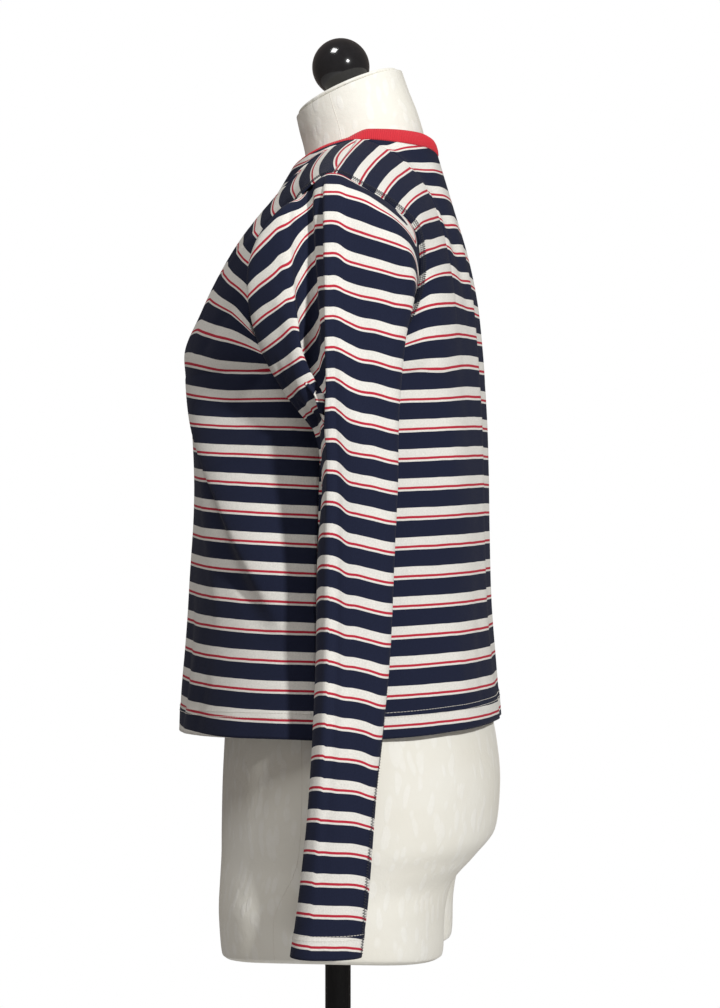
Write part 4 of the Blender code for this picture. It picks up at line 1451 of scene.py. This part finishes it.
# ---------------------------------------------------------------- studio
@dataclass
class Studio:
    """Pale floor, white surround, soft studio light and the camera."""

    azimuth: float = 96.5
    distance: float = 2.1
    lens: float = 87.93
    aim_height: float = 1.089
    aim_right: float = 0.0188
    floor_radius: float = 3.0

    def view_direction(self, azimuth: float, elevation: float) -> Vector:
        """Unit vector from the object towards a viewer."""
        turn, rise = math.radians(azimuth), math.radians(elevation)
        return Vector((math.sin(turn) * math.cos(rise), -math.cos(turn) * math.cos(rise), math.sin(rise)))

    def camera(self) -> None:
        """The photograph's view."""
        away = self.view_direction(self.azimuth, 0.0)
        right = Vector((-away.y, away.x, 0.0))
        target = right * self.aim_right + Vector((0.0, 0.0, self.aim_height))
        lens = bpy.data.cameras.new("camera")
        lens.lens = self.lens
        camera = bpy.data.objects.new("camera", lens)
        camera.location = target + away * self.distance
        camera.rotation_euler = (-away).to_track_quat("-Z", "Y").to_euler()
        bpy.context.scene.collection.objects.link(camera)
        bpy.context.scene.camera = camera

    def lamp(self, name: str, azimuth: float, elevation: float, distance: float, size: float,
             watts: float) -> None:
        """An area light that looks at the shirt's middle."""
        light = bpy.data.lights.new(name, "AREA")
        light.size = size
        light.energy = watts
        away = self.view_direction(azimuth, elevation)
        lamp = bpy.data.objects.new(name, light)
        lamp.location = away * distance + Vector((0.0, 0.0, self.aim_height))
        lamp.rotation_euler = (-away).to_track_quat("-Z", "Y").to_euler()
        bpy.context.scene.collection.objects.link(lamp)

    def floor(self) -> None:
        """A wide pale floor."""
        sheet = bmesh.new()
        bmesh.ops.create_circle(sheet, cap_ends=True, segments=96, radius=self.floor_radius)
        shading = Shading("pale_floor", 0.7)
        dim, pale = (0.80, 0.80, 0.80), (0.84, 0.84, 0.84)
        finish = shading.done(shading.ramp(shading.noise(3.0, 2.0), ((0.3, dim), (0.7, pale))))
        floor = new_object("floor", sheet, finish)

    def world(self) -> None:
        """White surround: bright to look at, softer as light."""
        world = bpy.data.worlds.new("studio")
        world.use_nodes = True
        tree = world.node_tree
        tree.nodes.clear()
        out = tree.nodes.new("ShaderNodeOutputWorld")
        choice = tree.nodes.new("ShaderNodeMixShader")
        rays = tree.nodes.new("ShaderNodeLightPath")
        tree.links.new(rays.outputs["Is Camera Ray"], choice.inputs[0])
        for place, strength, colour in ((1, 0.13, (1.0, 0.86, 0.79, 1.0)), (2, 1.0, (1.0, 1.0, 1.0, 1.0))):
            light = tree.nodes.new("ShaderNodeBackground")
            light.inputs["Strength"].default_value = strength
            light.inputs["Color"].default_value = colour
            tree.links.new(light.outputs[0], choice.inputs[place])
        tree.links.new(choice.outputs[0], out.inputs[0])
        bpy.context.scene.world = world

    def build(self) -> None:
        """Set everything up."""
        self.camera()
        self.floor()
        self.world()
        self.lamp("key", self.azimuth + 29.0, 22.0, 3.2, 0.16, 86.0)
        self.lamp("top", self.azimuth - 42.0, 62.0, 2.6, 0.7, 27.0)
        bpy.context.scene.view_settings.view_transform = "Standard"


def front_panel(surface: ShirtSurface) -> BodyPanel:
    """The front, with its stripes as they hang over the bust."""
    return BodyPanel(
        "shirt_front", Side.FRONT, FRONT_FOLDS, red_height=0.0205, starts=(-0.0135, -0.0015),
        rates=(1.030, 1.040), neck_heights=((0.0, 0.4985), (0.5, 0.507), (0.8, 0.517), (1.0, 0.5225)),
        armhole_heights=((0.0, 0.309), (0.25, 0.341), (0.31, 0.3565), (0.421, 0.3805), (0.527, 0.4045),
                         (0.629, 0.4285), (0.7475, 0.4525), (0.856, 0.4808), (0.94, 0.5048), (1.0, 0.518)),
        shoulder_sag=-0.008, eases=((0.60, -0.03, 0.22, 0.20, 0.0045), (0.66, 0.60, 0.26, 0.33, 0.0085)),
        hem_raise=0.0058, hem_curve=0.72, surface=surface)


def back_panel(surface: ShirtSurface) -> BodyPanel:
    """The back, with its stripes as they hang from the shoulders."""
    return BodyPanel(
        "shirt_back", Side.BACK, BACK_FOLDS, red_height=0.0145, starts=(0.0045, -0.0005),
        rates=(0.978, 1.025), neck_heights=((0.0, 0.4855), (0.42, 0.4955), (0.63, 0.502), (0.875, 0.516),
                                            (1.0, 0.5235)),
        armhole_heights=((0.0, 0.300), (0.375, 0.3505), (0.481, 0.3745), (0.587, 0.3995), (0.66, 0.4225),
                         (0.731, 0.449), (0.817, 0.4735), (0.913, 0.499), (1.0, 0.521)),
        shoulder_sag=0.002, eases=((0.72, 0.55, 0.25, 0.20, 0.0035), (0.20, 0.80, 0.12, 0.14, -0.006),
                                   (0.22, 0.15, 0.20, 0.25, -0.0035)),
        hem_raise=0.0058, hem_curve=-0.45, surface=surface)


def build_shirt() -> list[bpy.types.Object]:
    """Make the shirt's cloth and sewing.

    Returns:
        The cloth pieces.
    """
    surface = ShirtSurface()
    front, back = front_panel(surface), back_panel(surface)
    front_piece, front_cloth = front.build(StripedJersey("jersey_front", front.red_height).material())
    back_piece, back_cloth = back.build(StripedJersey("jersey_back", back.red_height).material())
    sleeve_finish = StripedJersey("jersey_sleeves", 0.007).material()
    left = Sleeve("sleeve_left", Hand.LEFT, SLEEVE_FOLDS, surface)
    right = Sleeve("sleeve_right", Hand.RIGHT, RIGHT_SLEEVE_FOLDS, surface)
    left_piece, left_cloth = left.build(sleeve_finish)
    right_piece, right_cloth = right.build(sleeve_finish)
    band = Neckband().build(front_cloth, back_cloth, front)
    sewing = Sewing(Thread("navy_thread", (0.012, 0.014, 0.024)).material(),
                    Thread("cream_thread", (0.52, 0.50, 0.45)).material())
    panels = ((front, front_cloth), (back, back_cloth))
    sewing.armholes(panels)
    sewing.hems(panels)
    sewing.sleeves(((left, left_cloth), (right, right_cloth)))
    return [front_piece, back_piece, left_piece, right_piece, band]


def main() -> None:
    """Build the shirt, the form, the stand and the studio."""
    logging.basicConfig(level=logging.INFO, format="%(message)s")
    cover = FormCover().material()
    form = DressForm()
    form.torso(cover)
    form.cap(cover)
    form.seams(Thread("cover_seam", (0.60, 0.58, 0.52)).material())
    form.ball()
    Stand.dress()
    for piece in build_shirt():
        LOG.info("laid %s", piece.name)
    Studio().build()


if __name__ == "__main__":
    main()
